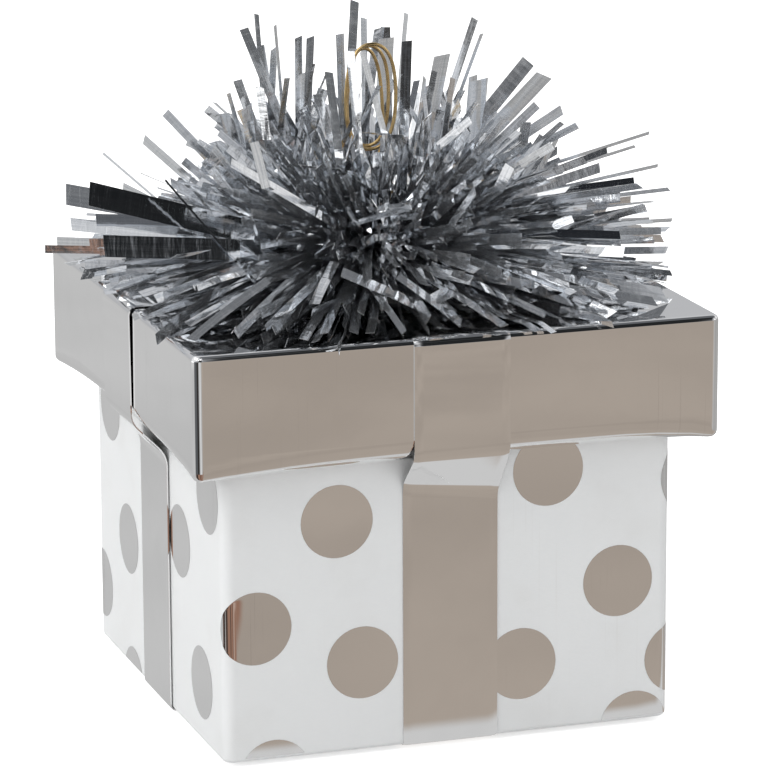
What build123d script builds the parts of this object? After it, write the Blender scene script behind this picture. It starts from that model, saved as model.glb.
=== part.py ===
"""Balloon weight: a ballasted gift box with a burst of tinsel and a tie loop that turns on its stem.

Millimetres, +Z up. The origin is the middle of the base card's underside and the front faces -Y.
"""

import math
import os
import random

from build123d import *

# Box
box_width = 57.0  # outside of the paper wrap
box_height = 50.2  # underside of the wrap to the rim
box_corner = 1.4  # outside radius of the upright edges
box_fold = 0.6  # outside radius of the edges under the box
tray_board = 1.2
wrap_paper = 0.2
wrap_turn_in = 8.0  # paper folded over the rim and down the inside
base_card_inset = 3.5
base_card_board = 0.4

# Ballast
pouch_height = 37.0
pouch_clear = 0.7  # to the paper inside the box
pouch_rounding = 7.0
pouch_film = 0.2
sand_clear = 0.05
glue_diameter = 7.0
glue_height = 0.5

# Lid, of card folded back on itself at the rim
lid_overhang = 4.5
lid_height = 15.2
lid_corner = 1.5
lid_top_edge = 1.0
lid_rim_edge = 1.4
lid_card = 1.0
lid_film = 0.2
lid_fit = 0.3  # clearance between the box and the inner skirt
flap_gap = 1.0  # free edge of the inner skirt to the underside of the top

# Ribbons
ribbon_width = 12.0
ribbon_film = 0.2
ribbon_clear = 0.1  # stand-off from the walls, which leaves room for the dots
ribbon_tuck = 5.0  # drop below the rim over which a ribbon swings in to the wall
ribbon_tail = 13.0  # length folded under the box

# Foil dots, each as shares of the box's width and height, seen from outside each face
dot_diameter = 9.0
dot_film = 0.06
front_dots = [
    (-0.25, 0.575), (0.22, 0.655), (0.38, 0.36), (-0.43, 0.33), (-0.195, 0.22),
    (0.16, 0.175), (-0.39, -0.04), (0.42, -0.015), (0.505, 0.605),
]
side_dots = [
    (-0.38, 0.645), (-0.24, 0.335), (0.18, 0.457), (0.395, 0.63), (-0.467, 0.15),
    (-0.215, -0.035), (0.335, 0.15), (0.126, -0.08),
]

# Tie loop and its stem
wire = 0.6
loop_width = 6.0
loop_height = 13.9
loop_turns = 3
loop_pitch = 1.2
tail_rise = 4.7  # ferrule's top to the middle of the lowest turn
tail_spacing = 1.5
tail_flare = 0.7  # spread of each tail beyond the outermost turn
ferrule_diameter = 3.2
ferrule_length = 3.5
stem_diameter = 1.6
stem_clear = 0.1  # radial, in the lid
stem_room = 0.4  # radial, through everything else
head_diameter = 4.0
head_height = 0.8
washer_diameter = 10.0
washer_height = 0.8
end_play = 0.2

# Tinsel burst
disc_diameter = 22.0
disc_card = 0.6
core_radius = 6.2
core_height = 7.0
core_shoulder = 3.6  # height at which the core starts to narrow
core_neck = 2.8  # radius at the core's top
waist_height = 3.1  # point that the strips spread from, above the disc
binding_wire = 0.6
tuft_count = 8
tuft_gap = 0.8  # degrees between neighbouring slices of the core
row_count = 13
steepest_row = 61.0  # degrees above level
skirt_clear = 0.8  # lowest strip tips to the ribbon on the lid
level_reach = 36.5  # a full strip lying level, from the waist
crown_reach = 21.5  # and one standing straight up
standing_reach = 38.5  # the few strips that stand out past the rest
standing_shortest = 0.84  # the shortest of them, as a share
standing_share = 0.11
skirt_shortest = 0.76  # shortest strips as a share of the reach, in the rows near the lid
crown_shortest = 0.66  # and in the rows above them
skirt_rows = 3
longest_share = 1.03
strip_film = 0.2
strip_root_width = 0.7
strip_widths = (1.1, 1.7)
strip_spacing = 0.92  # along a row, where the strips leave the core
strip_rooting = 0.7  # depth of each strip in the core
strip_roll = 28.0  # most a strip is rolled about its own length, in degrees

# Levels and widths that follow
wrap_bottom = base_card_board + ribbon_film
box_top = wrap_bottom + box_height
tray_width = box_width - 2 * wrap_paper
tray_bottom = wrap_bottom + wrap_paper
tray_top = box_top - wrap_paper
tray_floor = tray_bottom + tray_board
tray_inside = tray_width - 2 * tray_board
lining_inside = tray_inside - 2 * wrap_paper

lid_width = box_width + 2 * lid_overhang
lid_top = box_top + lid_card + lid_film
lid_bottom = lid_top - lid_height
lid_opening = box_width + 2 * lid_fit

disc_bottom = lid_top + 2 * ribbon_film
disc_top = disc_bottom + disc_card
waist = disc_top + waist_height
core_top = disc_top + core_height

washer_bottom = box_top - washer_height
head_top = washer_bottom - end_play
ferrule_bottom = core_top + end_play
ferrule_top = ferrule_bottom + ferrule_length
loop_low = ferrule_top + tail_rise
loop_high = loop_low + loop_height - wire


def square_tube_sketch(outer, outer_corner, inner, inner_corner):
    """Draw a square ring with rounded corners in the sketch that is open."""
    RectangleRounded(outer, outer, outer_corner)
    RectangleRounded(inner, inner, inner_corner, mode=Mode.SUBTRACT)


def rounded_block(width, bottom, top, corner, top_edge, rim_edge):
    """A square block with rounded uprights, top edges and lower edges."""
    with BuildPart() as block:
        with BuildSketch(Plane.XY.offset(bottom)):
            RectangleRounded(width, width, corner)
        extrude(amount=top - bottom)
        fillet(block.edges().group_by(Axis.Z)[-1], radius=top_edge)
        fillet(block.edges().group_by(Axis.Z)[0], radius=rim_edge)
    return block.part


def bore(diameter, bottom, top):
    """A round hole on the stem's axis, as a solid to take away."""
    with BuildPart() as hole:
        with BuildSketch(Plane.XY.offset(bottom)):
            Circle(diameter / 2)
        extrude(amount=top - bottom)
    return hole.part


def ribbon_route(lift):
    """Middle line of a ribbon: from one end under the box, over the lid, to the other end."""
    half = ribbon_film / 2
    wall = box_width / 2 + ribbon_clear + half
    rim = lid_width / 2 + ribbon_clear + half
    side = [
        (wall - ribbon_tail, base_card_board + half),
        (wall, base_card_board + half),
        (wall, lid_bottom - ribbon_tuck),
        (rim, lid_bottom + ribbon_film),
        (rim, lid_top + lift + half),
    ]
    return side + [(-across, up) for across, up in reversed(side)]


ribbon_bends = [box_fold + ribbon_film / 2, 3.5, 2.0, lid_top_edge + ribbon_film / 2]
ribbon_bends = ribbon_bends + ribbon_bends[::-1]


# The box
with BuildPart() as base_tray:
    with BuildSketch(Plane.XY.offset(tray_bottom)):
        RectangleRounded(tray_width, tray_width, box_corner - wrap_paper)
    extrude(amount=tray_top - tray_bottom)
    fillet(base_tray.edges().group_by(Axis.Z)[0], radius=box_fold - wrap_paper)
    tray_outside = base_tray.part
    with BuildSketch(Plane.XY.offset(tray_floor)):
        Rectangle(tray_inside, tray_inside)
    extrude(amount=tray_top - tray_floor, mode=Mode.SUBTRACT)

with BuildPart() as base_wrap:
    with BuildSketch(Plane.XY.offset(wrap_bottom)):
        RectangleRounded(box_width, box_width, box_corner)
    extrude(amount=box_height)
    fillet(base_wrap.edges().group_by(Axis.Z)[0], radius=box_fold)
    add(tray_outside, mode=Mode.SUBTRACT)
    with BuildSketch(Plane.XY.offset(tray_top)):
        Rectangle(lining_inside, lining_inside)
    extrude(amount=wrap_paper, mode=Mode.SUBTRACT)
    with BuildSketch(Plane.XY.offset(box_top - wrap_turn_in)):
        Rectangle(tray_inside, tray_inside)
        Rectangle(lining_inside, lining_inside, mode=Mode.SUBTRACT)
    extrude(amount=wrap_turn_in - wrap_paper)

with BuildPart() as foil_dots:
    for face in range(4):
        turn = 90 * face
        outward = Vector(0, -1, 0).rotate(Axis.Z, turn)
        along = Vector(1, 0, 0).rotate(Axis.Z, turn)
        middle = outward * (box_width / 2) + Vector(0, 0, wrap_bottom + box_height / 2)
        with BuildSketch(Plane(origin=middle, x_dir=along, z_dir=outward)):
            for across, up in (front_dots if face % 2 == 0 else side_dots):
                with Locations((across * box_width, (up - 0.5) * box_height)):
                    Circle(dot_diameter / 2)
            with Locations((0, box_fold)):
                Rectangle(box_width - 2 * box_corner, box_height, mode=Mode.INTERSECT)
        extrude(amount=dot_film)

with BuildPart() as base_card:
    with BuildSketch():
        RectangleRounded(box_width - 2 * base_card_inset, box_width - 2 * base_card_inset, 2.0)
    extrude(amount=base_card_board)

# The ballast
pouch_width = lining_inside - 2 * pouch_clear
pouch_bottom = tray_floor + glue_height
pouch_top = pouch_bottom + pouch_height


def pouch_body(inset):
    """The filled pouch's pillow shape, set in by a thickness."""
    rounding = pouch_rounding - inset
    return rounded_block(
        pouch_width - 2 * inset, pouch_bottom + inset, pouch_top - inset, rounding + 1, rounding, rounding
    )


with BuildPart() as ballast_pouch:
    add(pouch_body(0))
    add(pouch_body(pouch_film), mode=Mode.SUBTRACT)

with BuildPart() as ballast_sand:
    add(pouch_body(pouch_film + sand_clear))

with BuildPart() as pouch_glue:
    with BuildSketch(Plane.XY.offset(tray_floor)):
        with GridLocations(pouch_width / 2, pouch_width / 2, 2, 2):
            Circle(glue_diameter / 2)
    extrude(amount=glue_height)

# The lid
board_width = lid_width - 2 * lid_film
board_bottom = lid_bottom + lid_film
board_hollow = board_width - 2 * lid_card
flap_width = lid_opening + 2 * lid_card
opening_corner = box_corner + lid_fit


def lid_body(inset):
    """The lid's outside shape as a solid block, set in by a thickness."""
    return rounded_block(
        lid_width - 2 * inset, lid_bottom + inset, lid_top - inset,
        lid_corner - inset, lid_top_edge - inset, lid_rim_edge - inset,
    )


with BuildPart() as lid_foil:
    add(lid_body(0))
    add(lid_body(lid_film), mode=Mode.SUBTRACT)
    with BuildSketch(Plane.XY.offset(lid_bottom)):
        RectangleRounded(lid_opening, lid_opening, opening_corner)
    extrude(amount=lid_film, mode=Mode.SUBTRACT)
    add(bore(stem_diameter + 2 * stem_room, lid_top - lid_film, lid_top), mode=Mode.SUBTRACT)

with BuildPart() as lid_board:
    add(lid_body(lid_film))
    with BuildSketch(Plane.XY.offset(board_bottom)):
        RectangleRounded(lid_opening, lid_opening, opening_corner)
    extrude(amount=box_top - board_bottom, mode=Mode.SUBTRACT)
    with BuildSketch(Plane.XY.offset(board_bottom + lid_card)):
        square_tube_sketch(board_hollow, 0.3, flap_width, opening_corner + lid_card)
    extrude(amount=box_top - board_bottom - lid_card, mode=Mode.SUBTRACT)
    with BuildSketch(Plane.XY.offset(box_top - flap_gap)):
        RectangleRounded(board_hollow, board_hollow, 0.3)
    extrude(amount=flap_gap, mode=Mode.SUBTRACT)
    add(bore(stem_diameter + 2 * stem_clear, box_top, box_top + lid_card), mode=Mode.SUBTRACT)

# The ribbons, the second of which crosses over the first on the lid
with BuildPart() as ribbon_front_back:
    with BuildSketch(Plane.YZ):
        with BuildLine():
            FilletPolyline(*ribbon_route(0), radius=ribbon_bends)
        trace(line_width=ribbon_film)
    extrude(amount=ribbon_width / 2, both=True)
    add(bore(stem_diameter + 2 * stem_room, lid_top, lid_top + ribbon_film), mode=Mode.SUBTRACT)

with BuildPart() as ribbon_left_right:
    with BuildSketch(Plane.XZ):
        with BuildLine():
            FilletPolyline(*ribbon_route(ribbon_film), radius=ribbon_bends)
        trace(line_width=ribbon_film)
    extrude(amount=ribbon_width / 2, both=True)
    add(bore(stem_diameter + 2 * stem_room, lid_top + ribbon_film, disc_bottom), mode=Mode.SUBTRACT)

# The foot of the burst
with BuildPart() as pom_disc:
    with BuildSketch(Plane.XY.offset(disc_bottom)):
        Circle(disc_diameter / 2)
    extrude(amount=disc_card)
    add(bore(stem_diameter + 2 * stem_room, disc_bottom, disc_top), mode=Mode.SUBTRACT)

with BuildPart() as pom_binding:
    with BuildSketch(Plane.XZ):
        with Locations((core_radius + binding_wire / 2 + 0.05, disc_top + binding_wire / 2)):
            Circle(binding_wire / 2)
    revolve(axis=Axis.Z)

# The tinsel: rows of flat strips that spread from the waist, a slice of the core to each tuft
skirt_drop = waist - disc_bottom - skirt_clear
lowest_row = -math.degrees(math.asin(skirt_drop / (longest_share * level_reach)))
tuft_arc = 360 / tuft_count


def core_exit(elevation):
    """Distance from the waist, along a strip, at which it leaves the core's side or its cone."""
    slope = (core_radius - core_neck) / (core_height - core_shoulder)
    flat, rise = math.cos(math.radians(elevation)), math.sin(math.radians(elevation))
    cone = (core_radius - slope * (waist_height - core_shoulder)) / (flat + slope * rise)
    return min(core_radius / flat, cone)


def strip_plane(azimuth, elevation, roll):
    """Plane of one strip: X runs out along the strip, Z is square to its flat side."""
    azimuth, elevation, roll = (math.radians(angle) for angle in (azimuth, elevation, roll))
    level = Vector(math.cos(azimuth), math.sin(azimuth), 0)
    sideways = Vector(-math.sin(azimuth), math.cos(azimuth), 0)
    outward = level * math.cos(elevation) + Vector(0, 0, math.sin(elevation))
    above = level * -math.sin(elevation) + Vector(0, 0, math.cos(elevation))
    flat = above * math.cos(roll) + sideways * math.sin(roll)
    return Plane(origin=(0, 0, waist), x_dir=outward, z_dir=flat)


tufts = []
strip_total = 0
for tuft in range(tuft_count):
    chance = random.Random(40 + tuft)
    first = tuft * tuft_arc
    edge = math.radians(first + tuft_gap / 2)
    with BuildPart() as tinsel:
        wedge_face = Plane(
            origin=(0, 0, disc_top),
            x_dir=(math.cos(edge), math.sin(edge), 0),
            z_dir=(math.sin(edge), -math.cos(edge), 0),
        )
        with BuildSketch(wedge_face):
            Polygon(
                (stem_diameter / 2 + stem_room, 0), (core_radius, 0), (core_radius, core_shoulder),
                (core_neck, core_height), (stem_diameter / 2 + stem_room, core_height),
                align=None,
            )
        revolve(axis=Axis.Z, revolution_arc=tuft_arc - tuft_gap)
        for row in range(row_count):
            rise = row / (row_count - 1)
            elevation = lowest_row + rise * (steepest_row - lowest_row)
            leaves = core_exit(elevation)
            arc_length = math.radians(tuft_arc) * leaves * math.cos(math.radians(elevation))
            strips = max(2, int(arc_length / strip_spacing))
            shortest = skirt_shortest if row < skirt_rows else crown_shortest
            for place in range(strips):
                azimuth = first + tuft_arc * (place + 0.5) / strips + chance.uniform(-0.4, 0.4)
                roll = chance.uniform(-strip_roll, strip_roll)
                steep = max(0.0, math.sin(math.radians(elevation)))
                reach = level_reach + steep * (crown_reach - level_reach)
                reach *= chance.triangular(shortest, longest_share, 0.6 * shortest + 0.4 * longest_share)
                if row >= skirt_rows and chance.random() < standing_share:
                    reach = standing_reach * chance.uniform(standing_shortest, 1 - 0.06 * steep)
                half_root, half_tip = strip_root_width / 2, chance.uniform(*strip_widths) / 2
                slant = chance.uniform(-0.8, 0.8)
                root = leaves - strip_rooting
                with BuildSketch(strip_plane(azimuth, elevation, roll)):
                    Polygon(
                        (root, -half_root), (reach - slant, -half_tip),
                        (reach + slant, half_tip), (root, half_root),
                        align=None,
                    )
                strip_total += 1
        extrude(amount=strip_film / 2, both=True)
    tufts.append(tinsel)
print(f"tinsel strips {strip_total}")

# The tie loop: wire wound round an upright eye, with both tails brought down to the ferrule
half_loop = (loop_width - wire) / 2
run = loop_pitch / 4
corner_count = 4 * loop_turns - 2
first_run = -run * (corner_count - 1) / 2
eye_corners = [(-half_loop, loop_high), (half_loop, loop_high), (half_loop, loop_low), (-half_loop, loop_low)]
winding = []
for corner in range(corner_count):
    across, up = eye_corners[corner % 4]
    winding.append((across, first_run + corner * run, up))
tail = [
    (0, -tail_spacing / 2, ferrule_top),
    (0, -tail_spacing / 2, ferrule_top + 0.34 * tail_rise),
    (-half_loop, first_run - tail_flare, loop_low + wire),
]
far_tail = [(-x, -y, z) for x, y, z in reversed(tail)]
eye_bend = 0.93 * half_loop
winding_bends = [1.5, 3.0] + [eye_bend] * corner_count + [3.0, 1.5]

with BuildPart() as tie_loop:
    with BuildLine() as winding_line:
        FilletPolyline(*tail, *winding, *far_tail, radius=winding_bends)
    with BuildSketch(Plane(origin=tail[0], z_dir=(0, 0, 1))):
        Circle(wire / 2)
    sweep(path=winding_line.wires()[0])

wire_line = winding_line.wires()[0]
samples = 500
spots = [wire_line @ (i / samples) for i in range(samples + 1)]
apart = int(2.5 * wire / (wire_line.length / samples))
least = min(
    (spots[i] - spots[j]).length for i in range(samples + 1) for j in range(i + apart, samples + 1)
)
print(f"tie loop wire {wire_line.length:.1f} long, least gap to itself {least - wire:.2f}")

with BuildPart() as loop_ferrule:
    with BuildSketch(Plane.XY.offset(ferrule_bottom)):
        Circle(ferrule_diameter / 2)
    extrude(amount=ferrule_length)
    fillet(loop_ferrule.edges().group_by(Axis.Z)[0], radius=0.3)

with BuildPart() as loop_stem:
    with BuildSketch(Plane.XY.offset(head_top)):
        Circle(stem_diameter / 2)
    extrude(amount=ferrule_bottom - head_top)
    with BuildSketch(Plane.XY.offset(head_top - head_height)):
        Circle(head_diameter / 2)
    extrude(amount=head_height)

with BuildPart() as stem_washer:
    with BuildSketch(Plane.XY.offset(washer_bottom)):
        Circle(washer_diameter / 2)
    extrude(amount=washer_height)
    add(bore(stem_diameter + 2 * stem_clear, washer_bottom, box_top), mode=Mode.SUBTRACT)

os.makedirs("parts", exist_ok=True)
pieces = {
    "base_tray": base_tray,
    "base_wrap": base_wrap,
    "foil_dots": foil_dots,
    "base_card": base_card,
    "ballast_pouch": ballast_pouch,
    "ballast_sand": ballast_sand,
    "pouch_glue": pouch_glue,
    "lid_board": lid_board,
    "lid_foil": lid_foil,
    "ribbon_front_back": ribbon_front_back,
    "ribbon_left_right": ribbon_left_right,
    "pom_disc": pom_disc,
    "pom_binding": pom_binding,
    "tie_loop": tie_loop,
    "loop_ferrule": loop_ferrule,
    "loop_stem": loop_stem,
    "stem_washer": stem_washer,
}
for number, tinsel in enumerate(tufts, start=1):
    pieces[f"tinsel_tuft_{number}"] = tinsel
for name, piece in pieces.items():
    piece.part.label = name
    export_step(piece.part, f"parts/{name}.step")
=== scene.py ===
"""A balloon weight dressed for the camera: a spotted gift box with a mirror-film lid, two crossed
film ribbons, a burst of foil tinsel and a gold wire tie loop. Lengths are in metres, front is -Y."""

import math
import random

import bmesh
import bpy
from mathutils import Matrix, Quaternion, Vector


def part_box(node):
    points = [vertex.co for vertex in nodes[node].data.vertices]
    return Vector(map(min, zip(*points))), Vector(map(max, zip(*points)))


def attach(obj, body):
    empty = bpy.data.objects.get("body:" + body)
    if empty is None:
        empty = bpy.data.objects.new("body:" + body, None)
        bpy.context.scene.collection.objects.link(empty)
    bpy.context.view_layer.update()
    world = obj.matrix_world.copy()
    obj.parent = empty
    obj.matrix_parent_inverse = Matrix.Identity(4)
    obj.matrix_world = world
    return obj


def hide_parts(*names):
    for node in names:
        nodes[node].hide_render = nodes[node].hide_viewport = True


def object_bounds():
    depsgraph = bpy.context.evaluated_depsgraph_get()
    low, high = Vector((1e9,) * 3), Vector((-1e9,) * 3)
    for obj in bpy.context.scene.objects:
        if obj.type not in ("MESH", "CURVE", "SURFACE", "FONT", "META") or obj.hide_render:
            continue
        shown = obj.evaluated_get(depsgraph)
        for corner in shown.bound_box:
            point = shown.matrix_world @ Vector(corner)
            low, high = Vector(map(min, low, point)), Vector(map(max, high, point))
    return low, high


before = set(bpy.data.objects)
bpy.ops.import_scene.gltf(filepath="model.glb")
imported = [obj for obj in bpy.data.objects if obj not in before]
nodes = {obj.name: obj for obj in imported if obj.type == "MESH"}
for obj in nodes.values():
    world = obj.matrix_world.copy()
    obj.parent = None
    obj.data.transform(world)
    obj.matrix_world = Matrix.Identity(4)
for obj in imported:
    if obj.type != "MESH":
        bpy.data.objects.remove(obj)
cad_low, cad_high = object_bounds()

MM = 0.001
chance = random.Random(27)

# Sizes of the box, lid, ribbons, dots and tie, from the solids where these have them.
wrap_low, wrap_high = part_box("base_wrap")
lid_low, lid_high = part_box("lid_foil")
loop_low, loop_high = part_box("tie_loop")
ferrule_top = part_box("loop_ferrule")[1].z
disc_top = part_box("pom_disc")[1].z
box_half = wrap_high.x
lid_half = lid_high.x
lid_top = lid_high.z
lid_rim = lid_low.z
box_corner = 1.4 * MM
lid_corner = 1.2 * MM
lid_top_edge = 0.7 * MM
lid_rim_tight = 0.9 * MM
lid_rim_slack = 3.3 * MM
lid_hem = 4.2 * MM
lid_film = 0.2 * MM
lid_card = 1.0 * MM
card_hem = 3.7 * MM
layer_gap = 0.02 * MM
ribbon_width = 12 * MM
ribbon_film = 0.16 * MM
ribbon_clear = 0.1 * MM
ribbon_tail = 13 * MM
edge_band = 0.6 * MM
fold_reach = 4.5 * MM
dot_diameter = 9 * MM
dot_lift = 0.03 * MM
dot_roll = 4.2 * MM
dot_rim = 0.12 * MM
dot_trim = 0.5 * MM
waist = Vector((0, 0, 56.1 * MM))
loop_clear_radius = 5.3 * MM
wire_gauge = 0.45 * MM

# The camera: where it stands round the object in degrees, how far off, and its focal length in pixels.
FRAME_SIDE = 768
SENSOR_WIDTH = 36
focal_pixels = 4429.1
camera_azimuth = -18.46
camera_elevation = 13.85
camera_roll = -0.25
camera_distance = 555.3 * MM
camera_target = Vector((1.26, 0, 38.41)) * MM
nearest_seen, farthest_seen = 0.01, 50


def heading_at(azimuth, elevation):
    """A direction out from the object, azimuth 0 toward the front and 90 to the right, in degrees."""
    turn, rise = math.radians(azimuth), math.radians(elevation)
    return (math.sin(turn) * math.cos(rise), -math.cos(turn) * math.cos(rise), math.sin(rise))


def place_camera():
    """The photograph's view, with a long lens and no shift."""
    back = Vector(heading_at(camera_azimuth, camera_elevation))
    turn = back.to_track_quat("Z", "Y") @ Quaternion((0, 0, 1), math.radians(camera_roll))
    bpy.ops.object.camera_add(location=camera_target + back * camera_distance, rotation=turn.to_euler())
    camera = bpy.context.object
    camera.name = "main_camera"
    camera.data.sensor_width = SENSOR_WIDTH
    camera.data.lens = focal_pixels / FRAME_SIDE * SENSOR_WIDTH
    camera.data.clip_start = nearest_seen
    camera.data.clip_end = farthest_seen
    bpy.context.scene.camera = camera
    return camera


bpy.ops.object.select_all(action="DESELECT")
main_camera = place_camera()
bpy.context.view_layer.update()
view_toward = Vector(heading_at(camera_azimuth, 0))
view_across = Vector((-view_toward.y, view_toward.x, 0))


def spot(across_pixels, down_pixels, toward):
    """The point seen at a place in the frame, on an upright plane so far in front of the tinsel's axis."""
    middle = FRAME_SIDE / 2
    ray = main_camera.matrix_world.to_3x3() @ Vector(
        ((across_pixels - middle) / focal_pixels, (middle - down_pixels) / focal_pixels, -1)
    )
    start = main_camera.matrix_world.translation
    reach = (waist + view_toward * toward - start).dot(view_toward) / ray.dot(view_toward)
    return start + ray * reach


# Nodes


def feed(tree, sockets, inputs):
    """Sets each input to its value, or links it where that is another node's output."""
    for key, value in inputs.items():
        if isinstance(value, bpy.types.NodeSocket):
            tree.links.new(value, sockets[key])
        else:
            sockets[key].default_value = value


def add_node(tree, kind, inputs=None, **settings):
    """A node with its settings made, and its inputs set or linked."""
    made = tree.nodes.new(kind)
    for key, value in settings.items():
        setattr(made, key, value)
    feed(tree, made.inputs, inputs or {})
    return made


def work_out(tree, operation, first, second=0.0, clamp=False):
    """A Math node's result."""
    return add_node(
        tree, "ShaderNodeMath", {0: first, 1: second}, operation=operation, use_clamp=clamp
    ).outputs[0]


def vector_out(tree, operation, first, second):
    """A Vector Math node's vector."""
    return add_node(tree, "ShaderNodeVectorMath", {0: first, 1: second}, operation=operation).outputs[0]


def mix_colour(tree, share, first, second, blend="MIX"):
    """A colour between two, or one blended on another."""
    return add_node(
        tree, "ShaderNodeMix", {0: share, 6: first, 7: second}, data_type="RGBA", blend_type=blend
    ).outputs[2]


def ramp_out(tree, value, low, high, to_low=0.0, to_high=1.0, smooth=True):
    """A value carried from one range to another, with soft ends."""
    return add_node(
        tree,
        "ShaderNodeMapRange",
        {"Value": value, "From Min": low, "From Max": high, "To Min": to_low, "To Max": to_high},
        interpolation_type="SMOOTHSTEP" if smooth else "LINEAR",
    ).outputs["Result"]


def noise_out(tree, vector, scale, detail=2.0, roughness=0.5):
    """A noise texture's value."""
    return add_node(
        tree,
        "ShaderNodeTexNoise",
        {"Vector": vector, "Scale": scale, "Detail": detail, "Roughness": roughness},
    ).outputs["Fac"]


def new_group(name, inputs, outputs):
    """An empty shader node group with named sockets, and its two end nodes."""
    tree = bpy.data.node_groups.new(name, "ShaderNodeTree")
    for socket, kind, start in inputs:
        made = tree.interface.new_socket(socket, in_out="INPUT", socket_type=kind)
        if start is not None:
            made.default_value = start
    for socket, kind in outputs:
        tree.interface.new_socket(socket, in_out="OUTPUT", socket_type=kind)
    return tree, tree.nodes.new("NodeGroupInput"), tree.nodes.new("NodeGroupOutput")


def film_waves_group():
    """The slow swell and fine tension lines of a plastic film drawn over board."""
    tree, given, result = new_group(
        "film_waves",
        [
            ("Vector", "NodeSocketVector", None),
            ("Swell Scale", "NodeSocketFloat", 40.0),
            ("Fine Scale", "NodeSocketFloat", 400.0),
            ("Fine Share", "NodeSocketFloat", 0.1),
        ],
        [("Height", "NodeSocketFloat")],
    )
    swell = noise_out(tree, given.outputs["Vector"], given.outputs["Swell Scale"], 1.0, 0.4)
    fine = noise_out(tree, given.outputs["Vector"], given.outputs["Fine Scale"], 2.0, 0.5)
    height = work_out(tree, "ADD", swell, work_out(tree, "MULTIPLY", fine, given.outputs["Fine Share"]))
    tree.links.new(height, result.inputs["Height"])
    return tree


def handling_marks_group():
    """Hairline scratches and smudges that handling leaves on a bright surface, as a mask."""
    tree, given, result = new_group(
        "handling_marks",
        [
            ("Vector", "NodeSocketVector", None),
            ("Scale", "NodeSocketFloat", 1.0),
            ("Scratch Share", "NodeSocketFloat", 0.5),
            ("Smudge Share", "NodeSocketFloat", 0.4),
        ],
        [("Mask", "NodeSocketFloat")],
    )
    scaled = add_node(
        tree,
        "ShaderNodeVectorMath",
        {0: given.outputs["Vector"], "Scale": given.outputs["Scale"]},
        operation="SCALE",
    ).outputs[0]
    lines = None
    for turn, stretch in ((0.6, (4200, 45, 45)), (-0.9, (40, 3600, 50))):
        laid = add_node(
            tree,
            "ShaderNodeMapping",
            {"Vector": scaled, "Rotation": (turn, turn * 0.7, turn), "Scale": stretch},
        ).outputs[0]
        line = ramp_out(tree, noise_out(tree, laid, 1.0, 0.0), 0.70, 0.76)
        lines = line if lines is None else work_out(tree, "MAXIMUM", lines, line)
    patches = ramp_out(tree, noise_out(tree, scaled, 55.0, 2.0), 0.52, 0.7)
    patches = work_out(tree, "MULTIPLY", patches, given.outputs["Scratch Share"])
    scratches = work_out(tree, "MULTIPLY", lines, patches)
    smudges = work_out(
        tree,
        "MULTIPLY",
        ramp_out(tree, noise_out(tree, scaled, 120.0, 3.0, 0.6), 0.45, 0.75),
        given.outputs["Smudge Share"],
    )
    mask = work_out(tree, "ADD", scratches, smudges, clamp=True)
    tree.links.new(mask, result.inputs["Mask"])
    return tree


def board_fibre_group():
    """The mottle and fine fibres of paper and board: a tone and a height."""
    tree, given, result = new_group(
        "board_fibre",
        [("Vector", "NodeSocketVector", None), ("Fibre Scale", "NodeSocketFloat", 900.0)],
        [("Tone", "NodeSocketFloat"), ("Height", "NodeSocketFloat")],
    )
    laid = add_node(
        tree, "ShaderNodeMapping", {"Vector": given.outputs["Vector"], "Scale": (1.0, 1.0, 2.5)}
    ).outputs[0]
    fibres = noise_out(tree, laid, given.outputs["Fibre Scale"], 4.0, 0.65)
    mottle = noise_out(tree, given.outputs["Vector"], 130.0, 3.0, 0.55)
    fine, broad = work_out(tree, "MULTIPLY", fibres, 0.55), work_out(tree, "MULTIPLY", mottle, 0.45)
    tone = work_out(tree, "ADD", fine, broad)
    tree.links.new(tone, result.inputs["Tone"])
    tree.links.new(fibres, result.inputs["Height"])
    return tree


def drawn_wire_group():
    """Fine draw lines and dull patches of drawn wire and pressed metal."""
    tree, given, result = new_group(
        "drawn_wire",
        [("Vector", "NodeSocketVector", None), ("Line Scale", "NodeSocketFloat", 3000.0)],
        [("Lines", "NodeSocketFloat"), ("Dull", "NodeSocketFloat")],
    )
    laid = add_node(
        tree, "ShaderNodeMapping", {"Vector": given.outputs["Vector"], "Scale": (1.0, 1.0, 0.12)}
    ).outputs[0]
    tree.links.new(noise_out(tree, laid, given.outputs["Line Scale"], 2.0, 0.6), result.inputs["Lines"])
    dull = ramp_out(tree, noise_out(tree, given.outputs["Vector"], 420.0, 3.0, 0.6), 0.4, 0.75)
    tree.links.new(dull, result.inputs["Dull"])
    return tree


film_waves = film_waves_group()
handling_marks = handling_marks_group()
board_fibre = board_fibre_group()
drawn_wire = drawn_wire_group()


def use_group(tree, group, inputs):
    """A node group placed in a material."""
    made = add_node(tree, "ShaderNodeGroup", node_tree=group)
    feed(tree, made.inputs, inputs)
    return made.outputs


def new_material(name):
    """A new material, its tree, its shader and the object's own coordinates."""
    material = bpy.data.materials.new(name)
    material.use_nodes = True
    tree = material.node_tree
    shader = tree.nodes["Principled BSDF"]
    place = tree.nodes.new("ShaderNodeTexCoord").outputs["Object"]
    return material, tree, shader, place


def set_shader(tree, shader, **inputs):
    """Sets or links the shader's inputs, with underscores for spaces in their names."""
    feed(tree, shader.inputs, {key.replace("_", " "): value for key, value in inputs.items()})


def bumped(tree, height, strength, distance):
    """A normal raised by a height."""
    return add_node(
        tree, "ShaderNodeBump", {"Height": height, "Strength": strength, "Distance": distance}
    ).outputs["Normal"]


def grey(value):
    """A neutral colour."""
    return (value, value, value, 1)


# Finishes

# A strip of tinsel with this tone is a plain mirror. The others run from 0, dull, to 1, bright.
BLACK_TONE = -1.0


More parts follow.
